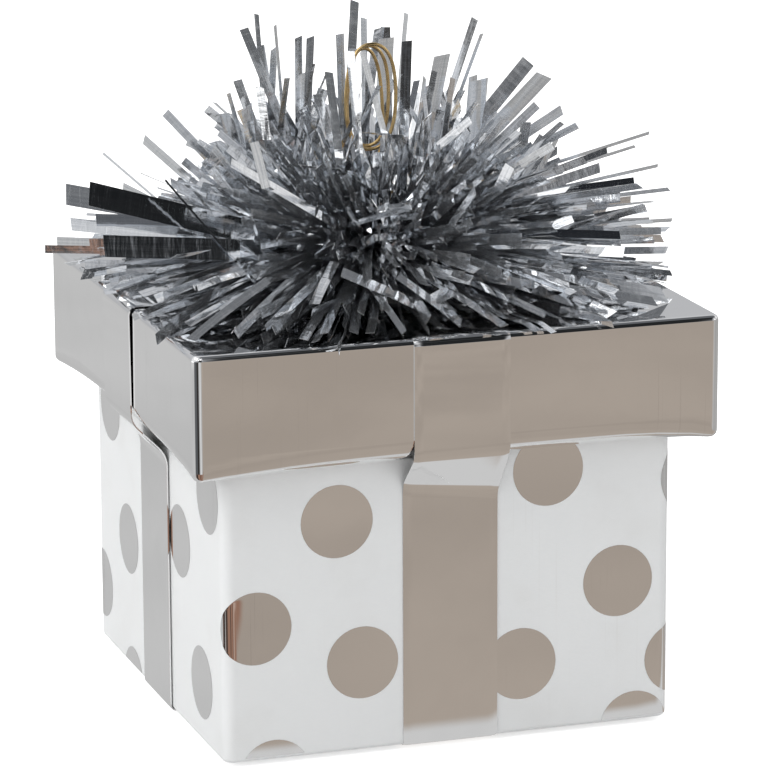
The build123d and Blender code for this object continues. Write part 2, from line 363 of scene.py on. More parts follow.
def mirror_film_material(name, bright, marked, swell_scale, swell_height, roughness, rolled=0.0):
    """Silver mirror film: slightly wavy, scratched and smudged, and falling away at the corners if rolled."""
    material, tree, shader, place = new_material(name)
    marks = use_group(
        tree, handling_marks, {"Vector": place, "Scale": 1.0, "Scratch Share": 0.5, "Smudge Share": 0.3}
    )
    waves = use_group(
        tree,
        film_waves,
        {"Vector": place, "Swell Scale": swell_scale, "Fine Scale": 650.0, "Fine Share": 0.02},
    )
    height = work_out(tree, "MULTIPLY", waves["Height"], swell_height)
    if rolled > 0:
        away = vector_out(tree, "ABSOLUTE", place, (0, 0, 0))
        parts = add_node(tree, "ShaderNodeSeparateXYZ", {0: away}).outputs
        along_wall = work_out(tree, "MINIMUM", parts["X"], parts["Y"])
        past = work_out(tree, "MAXIMUM", work_out(tree, "SUBTRACT", along_wall, box_half - dot_roll), 0.0)
        drop = work_out(tree, "MULTIPLY", work_out(tree, "MULTIPLY", past, past), rolled)
        height = work_out(tree, "SUBTRACT", height, drop)
    set_shader(
        tree,
        shader,
        Base_Color=mix_colour(tree, marks["Mask"], bright, marked),
        Metallic=1.0,
        Roughness=ramp_out(tree, marks["Mask"], 0.0, 1.0, roughness, roughness + 0.16, smooth=False),
        Normal=bumped(tree, height, 1.0, 1.0),
    )
    return material


def tinsel_material():
    """Tinsel foil: film slit into strips, streaked along and finely ribbed across, each of its own tone."""
    material, tree, shader, _ = new_material("tinsel_foil")
    along = add_node(tree, "ShaderNodeUVMap", uv_map="UVMap").outputs["UV"]

    def laid(lengthwise, across, detail, roughness):
        scaled = add_node(tree, "ShaderNodeMapping", {"Vector": along, "Scale": (lengthwise, across, 1.0)})
        return noise_out(tree, scaled.outputs[0], 1.0, detail, roughness)

    ribs = laid(5.5, 0.25, 3.0, 0.7)
    streaks = laid(0.10, 5.0, 2.0, 0.6)
    crimps = laid(0.9, 0.5, 2.0, 0.5)
    creases = laid(0.8, 0.12, 0.0, 0.5)
    off_crease = work_out(tree, "ABSOLUTE", work_out(tree, "SUBTRACT", creases, 0.5))
    lines = ramp_out(tree, off_crease, 0.0, 0.025, 1.0, 0.0)
    tone = add_node(tree, "ShaderNodeAttribute", attribute_name="strip_tone").outputs["Fac"]
    mirror_black = ramp_out(tree, tone, BLACK_TONE, 0.0, 1.0, 0.0, smooth=False)
    hazed = ramp_out(tree, lines, 0.0, 1.0, 0.925, 0.82, smooth=False)
    body = mix_colour(tree, tone, (0.86, 0.88, 0.905, 1), (0.975, 0.985, 0.995, 1))
    ribbed = mix_colour(tree, ramp_out(tree, ribs, 0.35, 0.65), (0.90, 0.905, 0.915, 1), grey(1.0))
    streaked = mix_colour(tree, ramp_out(tree, streaks, 0.36, 0.62), (0.85, 0.86, 0.87, 1), grey(1.0))
    height = work_out(tree, "ADD", work_out(tree, "MULTIPLY", streaks, 0.15), crimps)
    height = work_out(tree, "ADD", height, work_out(tree, "MULTIPLY", ribs, 0.06))
    body = mix_colour(tree, 1.0, body, ribbed, "MULTIPLY")
    set_shader(
        tree,
        shader,
        Base_Color=mix_colour(tree, 1.0, body, streaked, "MULTIPLY"),
        Metallic=work_out(tree, "MAXIMUM", hazed, mirror_black),
        Roughness=ramp_out(tree, ribs, 0.3, 0.75, 0.04, 0.14),
        Normal=bumped(tree, height, 0.35, 0.10 * MM),
    )
    return material


def white_paper_material():
    """The box's white gloss paper: faint fibre, a soft sheen and a few smudges."""
    material, tree, shader, place = new_material("white_paper")
    fibre = use_group(tree, board_fibre, {"Vector": place, "Fibre Scale": 1500.0})
    marks = use_group(
        tree, handling_marks, {"Vector": place, "Scale": 0.8, "Scratch Share": 0.25, "Smudge Share": 0.3}
    )
    sheet = mix_colour(tree, fibre["Tone"], (0.80, 0.81, 0.815, 1), (0.86, 0.865, 0.86, 1))
    swell = use_group(
        tree, film_waves, {"Vector": place, "Swell Scale": 60.0, "Fine Scale": 900.0, "Fine Share": 0.15}
    )
    set_shader(
        tree,
        shader,
        Base_Color=mix_colour(tree, marks["Mask"], sheet, (0.74, 0.735, 0.72, 1)),
        Roughness=ramp_out(tree, fibre["Tone"], 0.3, 0.7, 0.30, 0.42),
        Specular_IOR_Level=0.35,
        Normal=bumped(tree, work_out(tree, "ADD", swell["Height"], fibre["Height"]), 0.25, 0.05 * MM),
    )
    return material


def board_material(name, pale, dark, fleck, roughness):
    """Board and card: a fibrous body with scattered flecks."""
    material, tree, shader, place = new_material(name)
    fibre = use_group(tree, board_fibre, {"Vector": place, "Fibre Scale": 1100.0})
    flecks = ramp_out(tree, noise_out(tree, place, 1700.0, 1.0), 0.66, 0.74)
    body = mix_colour(tree, fibre["Tone"], dark, pale)
    set_shader(
        tree,
        shader,
        Base_Color=mix_colour(tree, flecks, body, fleck),
        Roughness=ramp_out(tree, fibre["Tone"], 0.3, 0.7, roughness - 0.08, roughness + 0.06),
        Normal=bumped(tree, fibre["Height"], 0.35, 0.06 * MM),
    )
    return material


def sand_material():
    """Filling sand: grains of mixed tan, grey and white."""
    material, tree, shader, place = new_material("ballast_sand")
    grains = add_node(tree, "ShaderNodeTexVoronoi", {"Vector": place, "Scale": 1500.0})
    shade = add_node(tree, "ShaderNodeSeparateColor", {"Color": grains.outputs["Color"]}).outputs["Red"]
    tan = mix_colour(tree, shade, (0.36, 0.26, 0.15, 1), (0.74, 0.64, 0.48, 1))
    set_shader(
        tree,
        shader,
        Base_Color=tan,
        Roughness=ramp_out(tree, shade, 0.0, 1.0, 0.6, 0.9),
        Normal=bumped(tree, work_out(tree, "SUBTRACT", 1.0, grains.outputs["Distance"]), 0.8, 0.3 * MM),
    )
    return material


def soft_plastic_material(name, body, worn, transmission, roughness):
    """Film, glue and moulded plastic: a smooth body with faint flow marks."""
    material, tree, shader, place = new_material(name)
    waves = use_group(
        tree, film_waves, {"Vector": place, "Swell Scale": 160.0, "Fine Scale": 1400.0, "Fine Share": 0.2}
    )
    set_shader(
        tree,
        shader,
        Base_Color=mix_colour(tree, ramp_out(tree, waves["Height"], 0.4, 0.75), body, worn),
        Roughness=ramp_out(tree, waves["Height"], 0.35, 0.8, roughness, roughness + 0.15),
        Transmission_Weight=transmission,
        Normal=bumped(tree, waves["Height"], 0.4, 0.2 * MM),
    )
    return material


def wire_material(name, bright, dull, roughness):
    """Drawn or pressed metal: fine lines along it and duller patches."""
    material, tree, shader, place = new_material(name)
    wire = use_group(tree, drawn_wire, {"Vector": place, "Line Scale": 2600.0})
    set_shader(
        tree,
        shader,
        Base_Color=mix_colour(tree, wire["Dull"], bright, dull),
        Metallic=1.0,
        Roughness=ramp_out(tree, wire["Lines"], 0.3, 0.7, roughness, roughness + 0.14),
        Normal=bumped(tree, wire["Lines"], 0.3, 0.04 * MM),
    )
    return material


finish_of = {
    "lid_foil": mirror_film_material("lid_foil", grey(0.93), grey(0.86), 26.0, 0.16 * MM, 0.02),
    "ribbon_foil": mirror_film_material("ribbon_foil", grey(0.94), grey(0.87), 34.0, 0.12 * MM, 0.03),
    "dot_foil": mirror_film_material(
        "dot_foil", grey(0.94), grey(0.86), 60.0, 0.05 * MM, 0.05, rolled=23.0
    ),
    "tinsel_foil": tinsel_material(),
    "white_paper": white_paper_material(),
    "chipboard": board_material(
        "chipboard", (0.50, 0.47, 0.42, 1), (0.33, 0.30, 0.26, 1), (0.20, 0.17, 0.14, 1), 0.85
    ),
    "lid_card": board_material(
        "lid_card", (0.56, 0.54, 0.50, 1), (0.40, 0.38, 0.34, 1), (0.25, 0.22, 0.19, 1), 0.85
    ),
    "plain_card": board_material(
        "plain_card", (0.80, 0.79, 0.76, 1), (0.66, 0.65, 0.62, 1), (0.50, 0.48, 0.44, 1), 0.75
    ),
    "pouch_film": soft_plastic_material("pouch_film", grey(0.85), grey(0.75), 0.85, 0.12),
    "sand": sand_material(),
    "hot_melt": soft_plastic_material("hot_melt", (0.78, 0.70, 0.52, 1), (0.70, 0.60, 0.42, 1), 0.4, 0.35),
    "washer_plastic": soft_plastic_material("washer_plastic", grey(0.82), grey(0.72), 0.0, 0.4),
    "gold_wire": wire_material("gold_wire", (0.80, 0.59, 0.29, 1), (0.46, 0.32, 0.15, 1), 0.10),
    "gold_sleeve": wire_material("gold_sleeve", (0.68, 0.47, 0.19, 1), (0.46, 0.30, 0.12, 1), 0.20),
    "stem_wire": wire_material("stem_wire", grey(0.62), grey(0.45), 0.24),
    "binding_wire": wire_material("binding_wire", grey(0.42), grey(0.26), 0.28),
}
node_finish = {
    "base_tray": "chipboard",
    "base_wrap": "white_paper",
    "foil_dots": "dot_foil",
    "base_card": "plain_card",
    "ballast_pouch": "pouch_film",
    "ballast_sand": "sand",
    "pouch_glue": "hot_melt",
    "lid_board": "lid_card",
    "lid_foil": "lid_foil",
    "ribbon_front_back": "ribbon_foil",
    "ribbon_left_right": "ribbon_foil",
    "pom_disc": "plain_card",
    "pom_binding": "binding_wire",
    "tie_loop": "gold_wire",
    "loop_ferrule": "gold_sleeve",
    "loop_stem": "stem_wire",
    "stem_washer": "washer_plastic",
}
for name, node in nodes.items():
    finish = finish_of[node_finish.get(name, "tinsel_foil")]
    for held in node.material_slots:
        held.material = finish


# Modelling steps


def start_fresh():
    """Nothing selected, so that a step acts only on its own piece."""
    bpy.ops.object.select_all(action="DESELECT")


def pick(obj, kind, test):
    """Selects in edit mode the faces, edges or vertices that pass a test."""
    mesh = bmesh.from_edit_mesh(obj.data)
    for part in list(mesh.faces) + list(mesh.edges) + list(mesh.verts):
        part.select = False
    mesh.select_mode = {kind}
    for part in {"FACE": mesh.faces, "EDGE": mesh.edges, "VERT": mesh.verts}[kind]:
        if test(part):
            part.select_set(True)
    mesh.select_flush_mode()
    bmesh.update_edit_mesh(obj.data)


def cut_across(place, normal, **settings):
    """Cuts the whole of a piece in edit mode along a plane."""
    bpy.ops.mesh.select_all(action="SELECT")
    bpy.ops.mesh.bisect(plane_co=place, plane_no=normal, **settings)


def apply_modifier(obj, kind, **settings):
    """Adds a modifier with its settings and applies it."""
    bpy.context.view_layer.objects.active = obj
    made = obj.modifiers.new(kind.lower(), kind)
    for key, value in settings.items():
        setattr(made, key, value)
    bpy.ops.object.modifier_apply(modifier=made.name)


def finish_piece(obj, name, slot, body, replaced=(), smooth_angle=None):
    """Names a piece, puts its place into its mesh, gives its finish and joins it to its body."""
    start_fresh()
    obj.select_set(True)
    bpy.context.view_layer.objects.active = obj
    bpy.ops.object.transform_apply(location=True, rotation=True, scale=True)
    obj.name = name
    obj.data.name = name
    obj.data.materials.clear()
    obj.data.materials.append(finish_of[slot])
    if smooth_angle is not None:
        bpy.ops.object.shade_smooth_by_angle(angle=math.radians(smooth_angle))
    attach(obj, body)
    if replaced:
        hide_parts(*replaced)
    start_fresh()


def at_height(part, height):
    """True for an edge or face whose corners all lie at a height."""
    return all(abs(corner.co.z - height) < 1e-6 for corner in part.verts)


# Heights above the lid's rim in mm, and pitch and count to each side, of the cuts that let the rim curve.
rim_cuts = (0.05, 0.15, 0.3, 0.5, 0.8, 1.2, 1.7, 2.3, 3.0)
lid_cut_pitch = 4.2 * MM
LID_CUTS = 7

# Powers of the way to a corner by which the slack rim tightens: soon at most, late at the front right one.
SOON, LATE = 3, 9


def rim_round(core):
    """How round the lid turns in at its rim: slack in the middle of a side, tight at the corners."""
    share = min(1.0, min(abs(core.x), abs(core.y)) / (lid_half - lid_corner))
    tightening = LATE if core.x > 0 > core.y else SOON
    return lid_rim_tight + (lid_rim_slack - lid_rim_tight) * (1 - share**tightening)


def make_lid_shell(name, inside, wall, turn_under, slot, replaced):
    """One layer of the lid, so far inside it: round corners, a soft top edge and a slack turned-in rim."""
    half, top, rim = lid_half - inside, lid_top - inside, lid_rim + inside
    corner, top_edge = lid_corner - inside, lid_top_edge - inside / 2
    start_fresh()
    bpy.ops.mesh.primitive_cube_add(size=1, location=(0, 0, (top + rim) / 2))
    shell = bpy.context.object
    shell.scale = (2 * half, 2 * half, top - rim)
    bpy.ops.object.transform_apply(location=True, rotation=True, scale=True)
    bpy.ops.object.mode_set(mode="EDIT")
    pick(shell, "EDGE", lambda edge: abs(edge.verts[0].co.z - edge.verts[1].co.z) > 1e-3)
    bpy.ops.mesh.bevel(offset=corner, segments=8, affect="EDGES")
    pick(shell, "EDGE", lambda edge: at_height(edge, top))
    bpy.ops.mesh.bevel(offset=top_edge, segments=6, affect="EDGES")
    pick(shell, "FACE", lambda face: at_height(face, rim))
    bpy.ops.mesh.inset(thickness=layer_gap)
    shrink = 1 - turn_under / half
    bpy.ops.transform.resize(value=(shrink, shrink, 1), center_override=(0, 0, rim))
    bpy.ops.mesh.delete(type="FACE")
    for rise in rim_cuts:
        cut_across((0, 0, rim + rise * MM), (0, 0, 1))
    for column in range(-LID_CUTS, LID_CUTS + 1):
        for across in ((1, 0, 0), (0, 1, 0)):
            cut_across(Vector(across) * (column * lid_cut_pitch), across)
    bpy.ops.object.mode_set(mode="OBJECT")
    straight = half - corner
    for vert in shell.data.vertices:
        core = Vector([max(-straight, min(straight, part)) for part in vert.co.xy] + [vert.co.z])
        out = vert.co - core
        if out.length < corner - 1e-5:
            continue
        turn = rim_round(core)
        rise = vert.co.z - rim
        if rise < turn:
            vert.co -= out.normalized() * (turn - math.sqrt(max(0.0, rise * (2 * turn - rise))))
    bpy.ops.object.mode_set(mode="EDIT")
    bpy.ops.mesh.select_all(action="SELECT")
    bpy.ops.mesh.normals_make_consistent(inside=False)
    bpy.ops.object.mode_set(mode="OBJECT")
    apply_modifier(shell, "SOLIDIFY", thickness=wall, offset=-1.0)
    bpy.ops.object.shade_smooth()
    apply_modifier(shell, "WEIGHTED_NORMAL", keep_sharp=True, weight=100)
    finish_piece(shell, name, slot, "weight", [replaced])


# Half the angle at a corner of a ribbon's line past which it needs no bend.
nearly_straight = math.radians(89.5)


def folded_line(corners, bends, steps=7):
    """A side view line with each inner corner rounded to its bend, as a list of (out, up)."""
    line = [corners[0]]
    for before, corner, after, bend in zip(corners, corners[1:], corners[2:], bends):
        come, go = (before - corner).normalized(), (after - corner).normalized()
        half = come.angle(go) / 2
        if half > nearly_straight:
            line.append(corner)
            continue
        back = bend / math.tan(half)
        centre = corner + (come + go).normalized() * (bend / math.sin(half))
        start, end = corner + come * back - centre, corner + go * back - centre
        sweep = start.angle_signed(end)
        for step in range(steps + 1):
            turn = -sweep * step / steps
            cosine, sine = math.cos(turn), math.sin(turn)
            swung = Vector((start.x * cosine - start.y * sine, start.x * sine + start.y * cosine))
            line.append(centre + swung)
    line.append(corners[-1])
    return line


# Where a ribbon turns, from the rim, the lid's edge and the crossing, and the bends at its turns.
rim_rise = 0.9 * MM
flat_from_edge = 9 * MM
cross_foot = 4 * MM
cross_top = 1 * MM
foot_bend, tuck_bend, rim_bend = 0.7 * MM, 3.4 * MM, 2.8 * MM
edge_bend, flat_bend, cross_bend = 1.0 * MM, 12 * MM, 10 * MM


def ribbon_side(lift, stand_off, tuck, wall_gap):
    """One half of a ribbon's side view, from its tail under the box up to the middle of the lid."""
    wall = box_half + wall_gap + ribbon_film / 2
    lid = lid_half + ribbon_clear + ribbon_film / 2
    under = wrap_low.z - ribbon_film / 2
    top = lid_top + ribbon_film / 2 + layer_gap
    corners = [
        Vector((wall - ribbon_tail, under)),
        Vector((wall, under)),
        Vector((wall, lid_rim - tuck)),
        Vector((lid, lid_rim + rim_rise)),
        Vector((lid + stand_off, top + stand_off)),
        Vector((lid - flat_from_edge, top)),
        Vector((ribbon_width / 2 + cross_foot, top)),
        Vector((ribbon_width / 2 + cross_top, top + lift)),
        Vector((0, top + lift)),
    ]
    bends = [foot_bend, tuck_bend, rim_bend, edge_bend + stand_off, flat_bend, cross_bend, cross_bend]
    return folded_line(corners, bends)


def make_ribbon(name, turn, lift, stand_offs, tucks, wall_gap, fold_slant, camber, replaced):
    """A flat film ribbon: up one wall, over the lid and down the other, its tails turned under the box."""
    near, far = (ribbon_side(lift, off, tuck, wall_gap) for off, tuck in zip(stand_offs, tucks))
    line = [Vector((-out, up)) for out, up in near]
    line += [Vector((out, up)) for out, up in reversed(far[:-1])]
    start_fresh()
    bpy.ops.mesh.primitive_grid_add(x_subdivisions=1, y_subdivisions=20, size=ribbon_width)
    ribbon = bpy.context.object
    bpy.ops.object.mode_set(mode="EDIT")
    pick(ribbon, "VERT", lambda vert: vert.co.x > 0)
    bpy.ops.mesh.delete(type="VERT")
    bpy.ops.mesh.select_all(action="SELECT")
    bpy.ops.transform.translate(value=(ribbon_width / 2 + line[0].x, 0, line[0].y))
    for here, there in zip(line, line[1:]):
        step = there - here
        bpy.ops.mesh.extrude_edges_move(TRANSFORM_OT_translate={"value": (step.x, 0, step.y)})
    bpy.ops.mesh.select_all(action="SELECT")
    bpy.ops.mesh.remove_doubles(threshold=1e-6)
    bpy.ops.mesh.normals_make_consistent(inside=False)
    bpy.ops.object.mode_set(mode="OBJECT")
    highest = max(ribbon.data.vertices, key=lambda vert: vert.co.z)
    outward = 1 if highest.normal.z > 0 else -1
    settled = []
    for vert in ribbon.data.vertices:
        place = vert.co.copy()
        over = abs(vert.co.y) - (ribbon_width / 2 - edge_band)
        if over > 0:
            place -= vert.normal * (outward * camber * (over / edge_band) ** 2)
        if vert.co.x < 0:
            away = abs(vert.co.z - (lid_rim - tucks[0])) / fold_reach
            place.z += fold_slant * (vert.co.y + ribbon_width / 3) * max(0.0, 1 - away) ** 0.5
        settled.append(place)
    for vert, place in zip(ribbon.data.vertices, settled):
        vert.co = place
    apply_modifier(ribbon, "SOLIDIFY", thickness=ribbon_film, offset=0.0)
    ribbon.rotation_euler.z = turn
    finish_piece(ribbon, name, "ribbon_foil", "weight", replaced, smooth_angle=35)


# Places of the dots: shares of the box's width from a wall's middle and of its height up it, from outside.
front_dots = [
    (-0.25, 0.575),
    (0.22, 0.655),
    (0.38, 0.36),
    (-0.43, 0.33),
    (-0.195, 0.22),
    (0.16, 0.175),
    (-0.39, -0.04),
    (0.42, -0.015),
    (0.556, 0.605),
]
side_dots = [
    (-0.38, 0.645),
    (-0.24, 0.335),
    (0.18, 0.457),
    (0.395, 0.63),
    (-0.467, 0.15),
    (-0.215, -0.035),
    (0.335, 0.15),
    (0.126, -0.08),
]
CORNER_CUTS = 6
wall_flat = 2 * (box_half - box_corner)
wall_pitch = wall_flat + box_corner * math.pi / 2


def fold_round_box(along, up):
    """Where a point of the flat wrapping sheet comes to on the box's walls, just proud of the paper."""
    wall = math.floor(along / wall_pitch + 0.5)
    across = along - wall * wall_pitch
    out = box_corner + dot_lift
    flat_end = wall_flat / 2
    if abs(across) <= flat_end:
        place = Vector((across, -(flat_end + out), up))
    else:
        turn = math.copysign((abs(across) - flat_end) / box_corner, across)
        side = math.copysign(flat_end, across)
        place = Vector((side + out * math.sin(turn), -flat_end - out * math.cos(turn), up))
    return Matrix.Rotation(wall * math.pi / 2, 3, "Z") @ place


def make_dots():
    """The foil dots, cut flat as on the wrapping sheet, trimmed at the box's foot and folded round it."""
    start_fresh()
    bpy.ops.mesh.primitive_circle_add(vertices=48, radius=dot_diameter / 2, fill_type="NGON")
    dots = bpy.context.object
    bpy.ops.object.mode_set(mode="EDIT")
    bpy.ops.mesh.inset(thickness=dot_rim)
    bpy.ops.object.mode_set(mode="OBJECT")
    blank = dots.data.copy()
    sheet = bmesh.new()
    box_height = wrap_high.z - wrap_low.z
    walls = [front_dots, side_dots[1:], front_dots[:-1], side_dots]
    for wall, places in enumerate(walls):
        for across, up in places:
            first = len(sheet.verts)
            sheet.from_mesh(blank)
            sheet.verts.ensure_lookup_table()
            for vert in sheet.verts[first:]:
                vert.co.x += wall * wall_pitch + across * 2 * box_half
                vert.co.y += wrap_low.z + up * box_height
    sheet.to_mesh(dots.data)
    sheet.free()
    bpy.data.meshes.remove(blank)
    bpy.ops.object.mode_set(mode="EDIT")
    cut_across((0, wrap_low.z + dot_trim, 0), (0, 1, 0), clear_inner=True, clear_outer=False)
    for wall in range(-1, len(walls)):
        for step in range(CORNER_CUTS + 1):
            bend = wall * wall_pitch + wall_flat / 2 + box_corner * math.pi / 2 * step / CORNER_CUTS
            cut_across((bend, 0, 0), (1, 0, 0))
    bpy.ops.mesh.select_all(action="SELECT")
    bpy.ops.mesh.quads_convert_to_tris()
    bpy.ops.object.mode_set(mode="OBJECT")
    for vert in dots.data.vertices:
        vert.co = fold_round_box(vert.co.x, vert.co.y)
    bpy.ops.object.mode_set(mode="EDIT")
    bpy.ops.mesh.select_all(action="SELECT")
    bpy.ops.mesh.remove_doubles(threshold=1e-7)
    bpy.ops.object.mode_set(mode="OBJECT")
    finish_piece(dots, "mirror_dots", "dot_foil", "weight", ["foil_dots"], smooth_angle=30)


# Studio: a white floor with soft light, and a surround that only mirror surfaces see.

# Cards round the studio: azimuth, elevation, half angle, softness in degrees, and colour.
studio_cards = [
    (-18, 14, 21, 8, (0.022, 0.024, 0.028, 1)),
    (-100, 25, 30, 12, (0.85, 0.85, 0.86, 1)),
    (-85, 54, 16, 7, (1.7, 1.7, 1.7, 1)),
    (100, 24, 15, 8, (0.85, 0.85, 0.85, 1)),
    (-138, 52, 12, 6, (1.1, 1.1, 1.1, 1)),
    (-14, 46, 5.5, 2, (2.8, 2.8, 2.8, 1)),
    (60, 14, 5, 2, (2.6, 2.55, 2.5, 1)),
    (10, 64, 4, 1.5, (3.5, 3.5, 3.5, 1)),
    (-36, 32, 5, 1.5, (3.2, 3.2, 3.2, 1)),
    (-62, 38, 5, 1.5, (3.2, 3.2, 3.2, 1)),
    (130, 32, 6, 2, (0.7, 0.7, 0.71, 1)),
    (-18, 37, 4, 1.5, (0.45, 0.26, 0.18, 1)),
    (80, 66, 28, 10, (0.13, 0.135, 0.145, 1)),
    (33, 46, 13, 6, (0.014, 0.015, 0.016, 1)),
    (23, 26, 11, 5, (0.014, 0.015, 0.016, 1)),
    (20, 9, 9, 4, (0.014, 0.015, 0.016, 1)),
]

sky_low, sky_high = (0.46, 0.465, 0.48, 1), (0.62, 0.63, 0.65, 1)
sky_top = 0.8
ambient_tint, ambient_strength = (0.98, 0.99, 1.0, 1), 0.515
FAR = 3000
floor_grey = 0.53
floor_horizon = -0.02

# How the floor looks in reflections: azimuth from the box's near left corner, half angle and softness in
# degrees, the distances from that corner in mm that it lies between, and colour.
floor_sectors = [
    (95, 34, 10, 0, FAR, (0.38, 0.375, 0.37, 1)),
    (24, 28, 7, 0, FAR, (0.385, 0.333, 0.288, 1)),
    (50, 47, 5, 0, 150, (0.385, 0.333, 0.288, 1)),
    (-104, 24, 8, 228, FAR, (1.3, 1.3, 1.3, 1)),
    (-62, 24, 8, 0, FAR, (0.105, 0.109, 0.115, 1)),
    (-47, 9, 4, 0, FAR, (0.032, 0.029, 0.027, 1)),
    (-20, 2.5, 1.5, 100, FAR, (0.8, 0.8, 0.8, 1)),
    (-38, 40, 3, 0, 125, (0.30, 0.17, 0.12, 1)),
    (-6, 2, 1, 0, 125, (0.48, 0.36, 0.30, 1)),
    (-14, 1.5, 1, 0, 125, (0.07, 0.05, 0.045, 1)),
    (-32, 3, 1, 0, 125, (0.09, 0.06, 0.05, 1)),
    (-66, 8, 3, 0, 125, (0.03, 0.028, 0.027, 1)),
]


def smooth_share(value, low, high):
    """A soft step from 0 to 1 between two values."""
    share = max(0.0, min(1.0, (value - low) / (high - low)))
    return share * share * (3 - 2 * share)


def soft_edge(half_angle, softness):
    """The cosines at which the soft edge of a card or sector begins and ends, from angles in degrees."""
    return math.cos(math.radians(half_angle + softness)), math.cos(math.radians(half_angle - softness))


def mirrored_shade(place, way):
    """How bright the studio is that a mirror at a place shows along a direction, and how far from grey."""
    if way.z < floor_horizon:
        met = place + way * (place.z / -way.z)
        bearing = Vector((met.x + box_half, met.y + box_half, 0))
        away = bearing.length
        shade = Vector((floor_grey, floor_grey, floor_grey))
        for azimuth, half_angle, softness, nearest, farthest, colour in floor_sectors:
            nearness = bearing.dot(Vector(heading_at(azimuth, 0))) / away
            share = smooth_share(nearness, *soft_edge(half_angle, softness))
            if nearest * MM < away < farthest * MM:
                shade = shade.lerp(Vector(colour[:3]), share)
        return shade.y, abs(shade.x - shade.z)
    shade = Vector(sky_low[:3]).lerp(Vector(sky_high[:3]), smooth_share(way.z, 0.0, sky_top))
    for azimuth, elevation, half_angle, softness, colour in studio_cards:
        nearness = way.dot(Vector(heading_at(azimuth, elevation)))
        share = smooth_share(nearness, *soft_edge(half_angle, softness))
        shade = shade.lerp(Vector(colour[:3]), share)
    return shade.y, abs(shade.x - shade.z)


# Tinsel: strips of slit foil that spread from a wire-bound waist.

TUFTS = 8
STRIP_STEPS = 12
MIDDLE_CUT = STRIP_STEPS // 2
GOLDEN_SHARE = 0.618034
strip_width = 1.1 * MM
strip_film = 0.02 * MM

# Length of foil in mm from which each strip takes its own stretch of streaks and ribs.
pattern_length = 90

# What strips rest on, and what they keep clear of.
disc_reach = 12 * MM
strip_on_disc = 0.35 * MM
strip_on_lid = 0.75 * MM
lid_overhang = 0.5 * MM
hang_past_lid = 0.8 * MM
well_depth = 1.5 * MM
stem_clear_radius = 2.3 * MM
box_spare = 2.0 * MM

# Roots of strips at the bound waist: nearest to the axis, usual distance and highest, in mm.
root_nearest, root_usual, root_highest = 2.8, 3.6, 2.4
edge_on = math.radians(75)

# How far a strip reaches: low down along the lid's sides and to its corners, and straight up.
side_reach = 33.5 * MM
corner_reach = 36.5 * MM
top_reach = 21 * MM
root_length = 3.5 * MM

# How a placed strip is turned to mirror a shade: range and step of the search and turns to average over, in
# degrees, and what a degree of turn and a tint count against a turn.
TURN_LIMIT, TURN_STEP = 62, 2
NEARBY_TURNS = (-7, -3, 0, 3, 7)
TURN_COST, TINT_COST = 0.004, 2

# Shades of placed strips run from 0, black, to 1, white, and past 1 for a lamp, or are copper.
COPPER = -1.0
BLACK_LIMIT = 0.06
# Strips that mirror a lamp get the brightest foil colour, a painted highlight on top of the mirrored one; the
# others get a plain tone.
PLAIN_TONE, PAINTED_GLINT_TONE = 0.7, 1.0

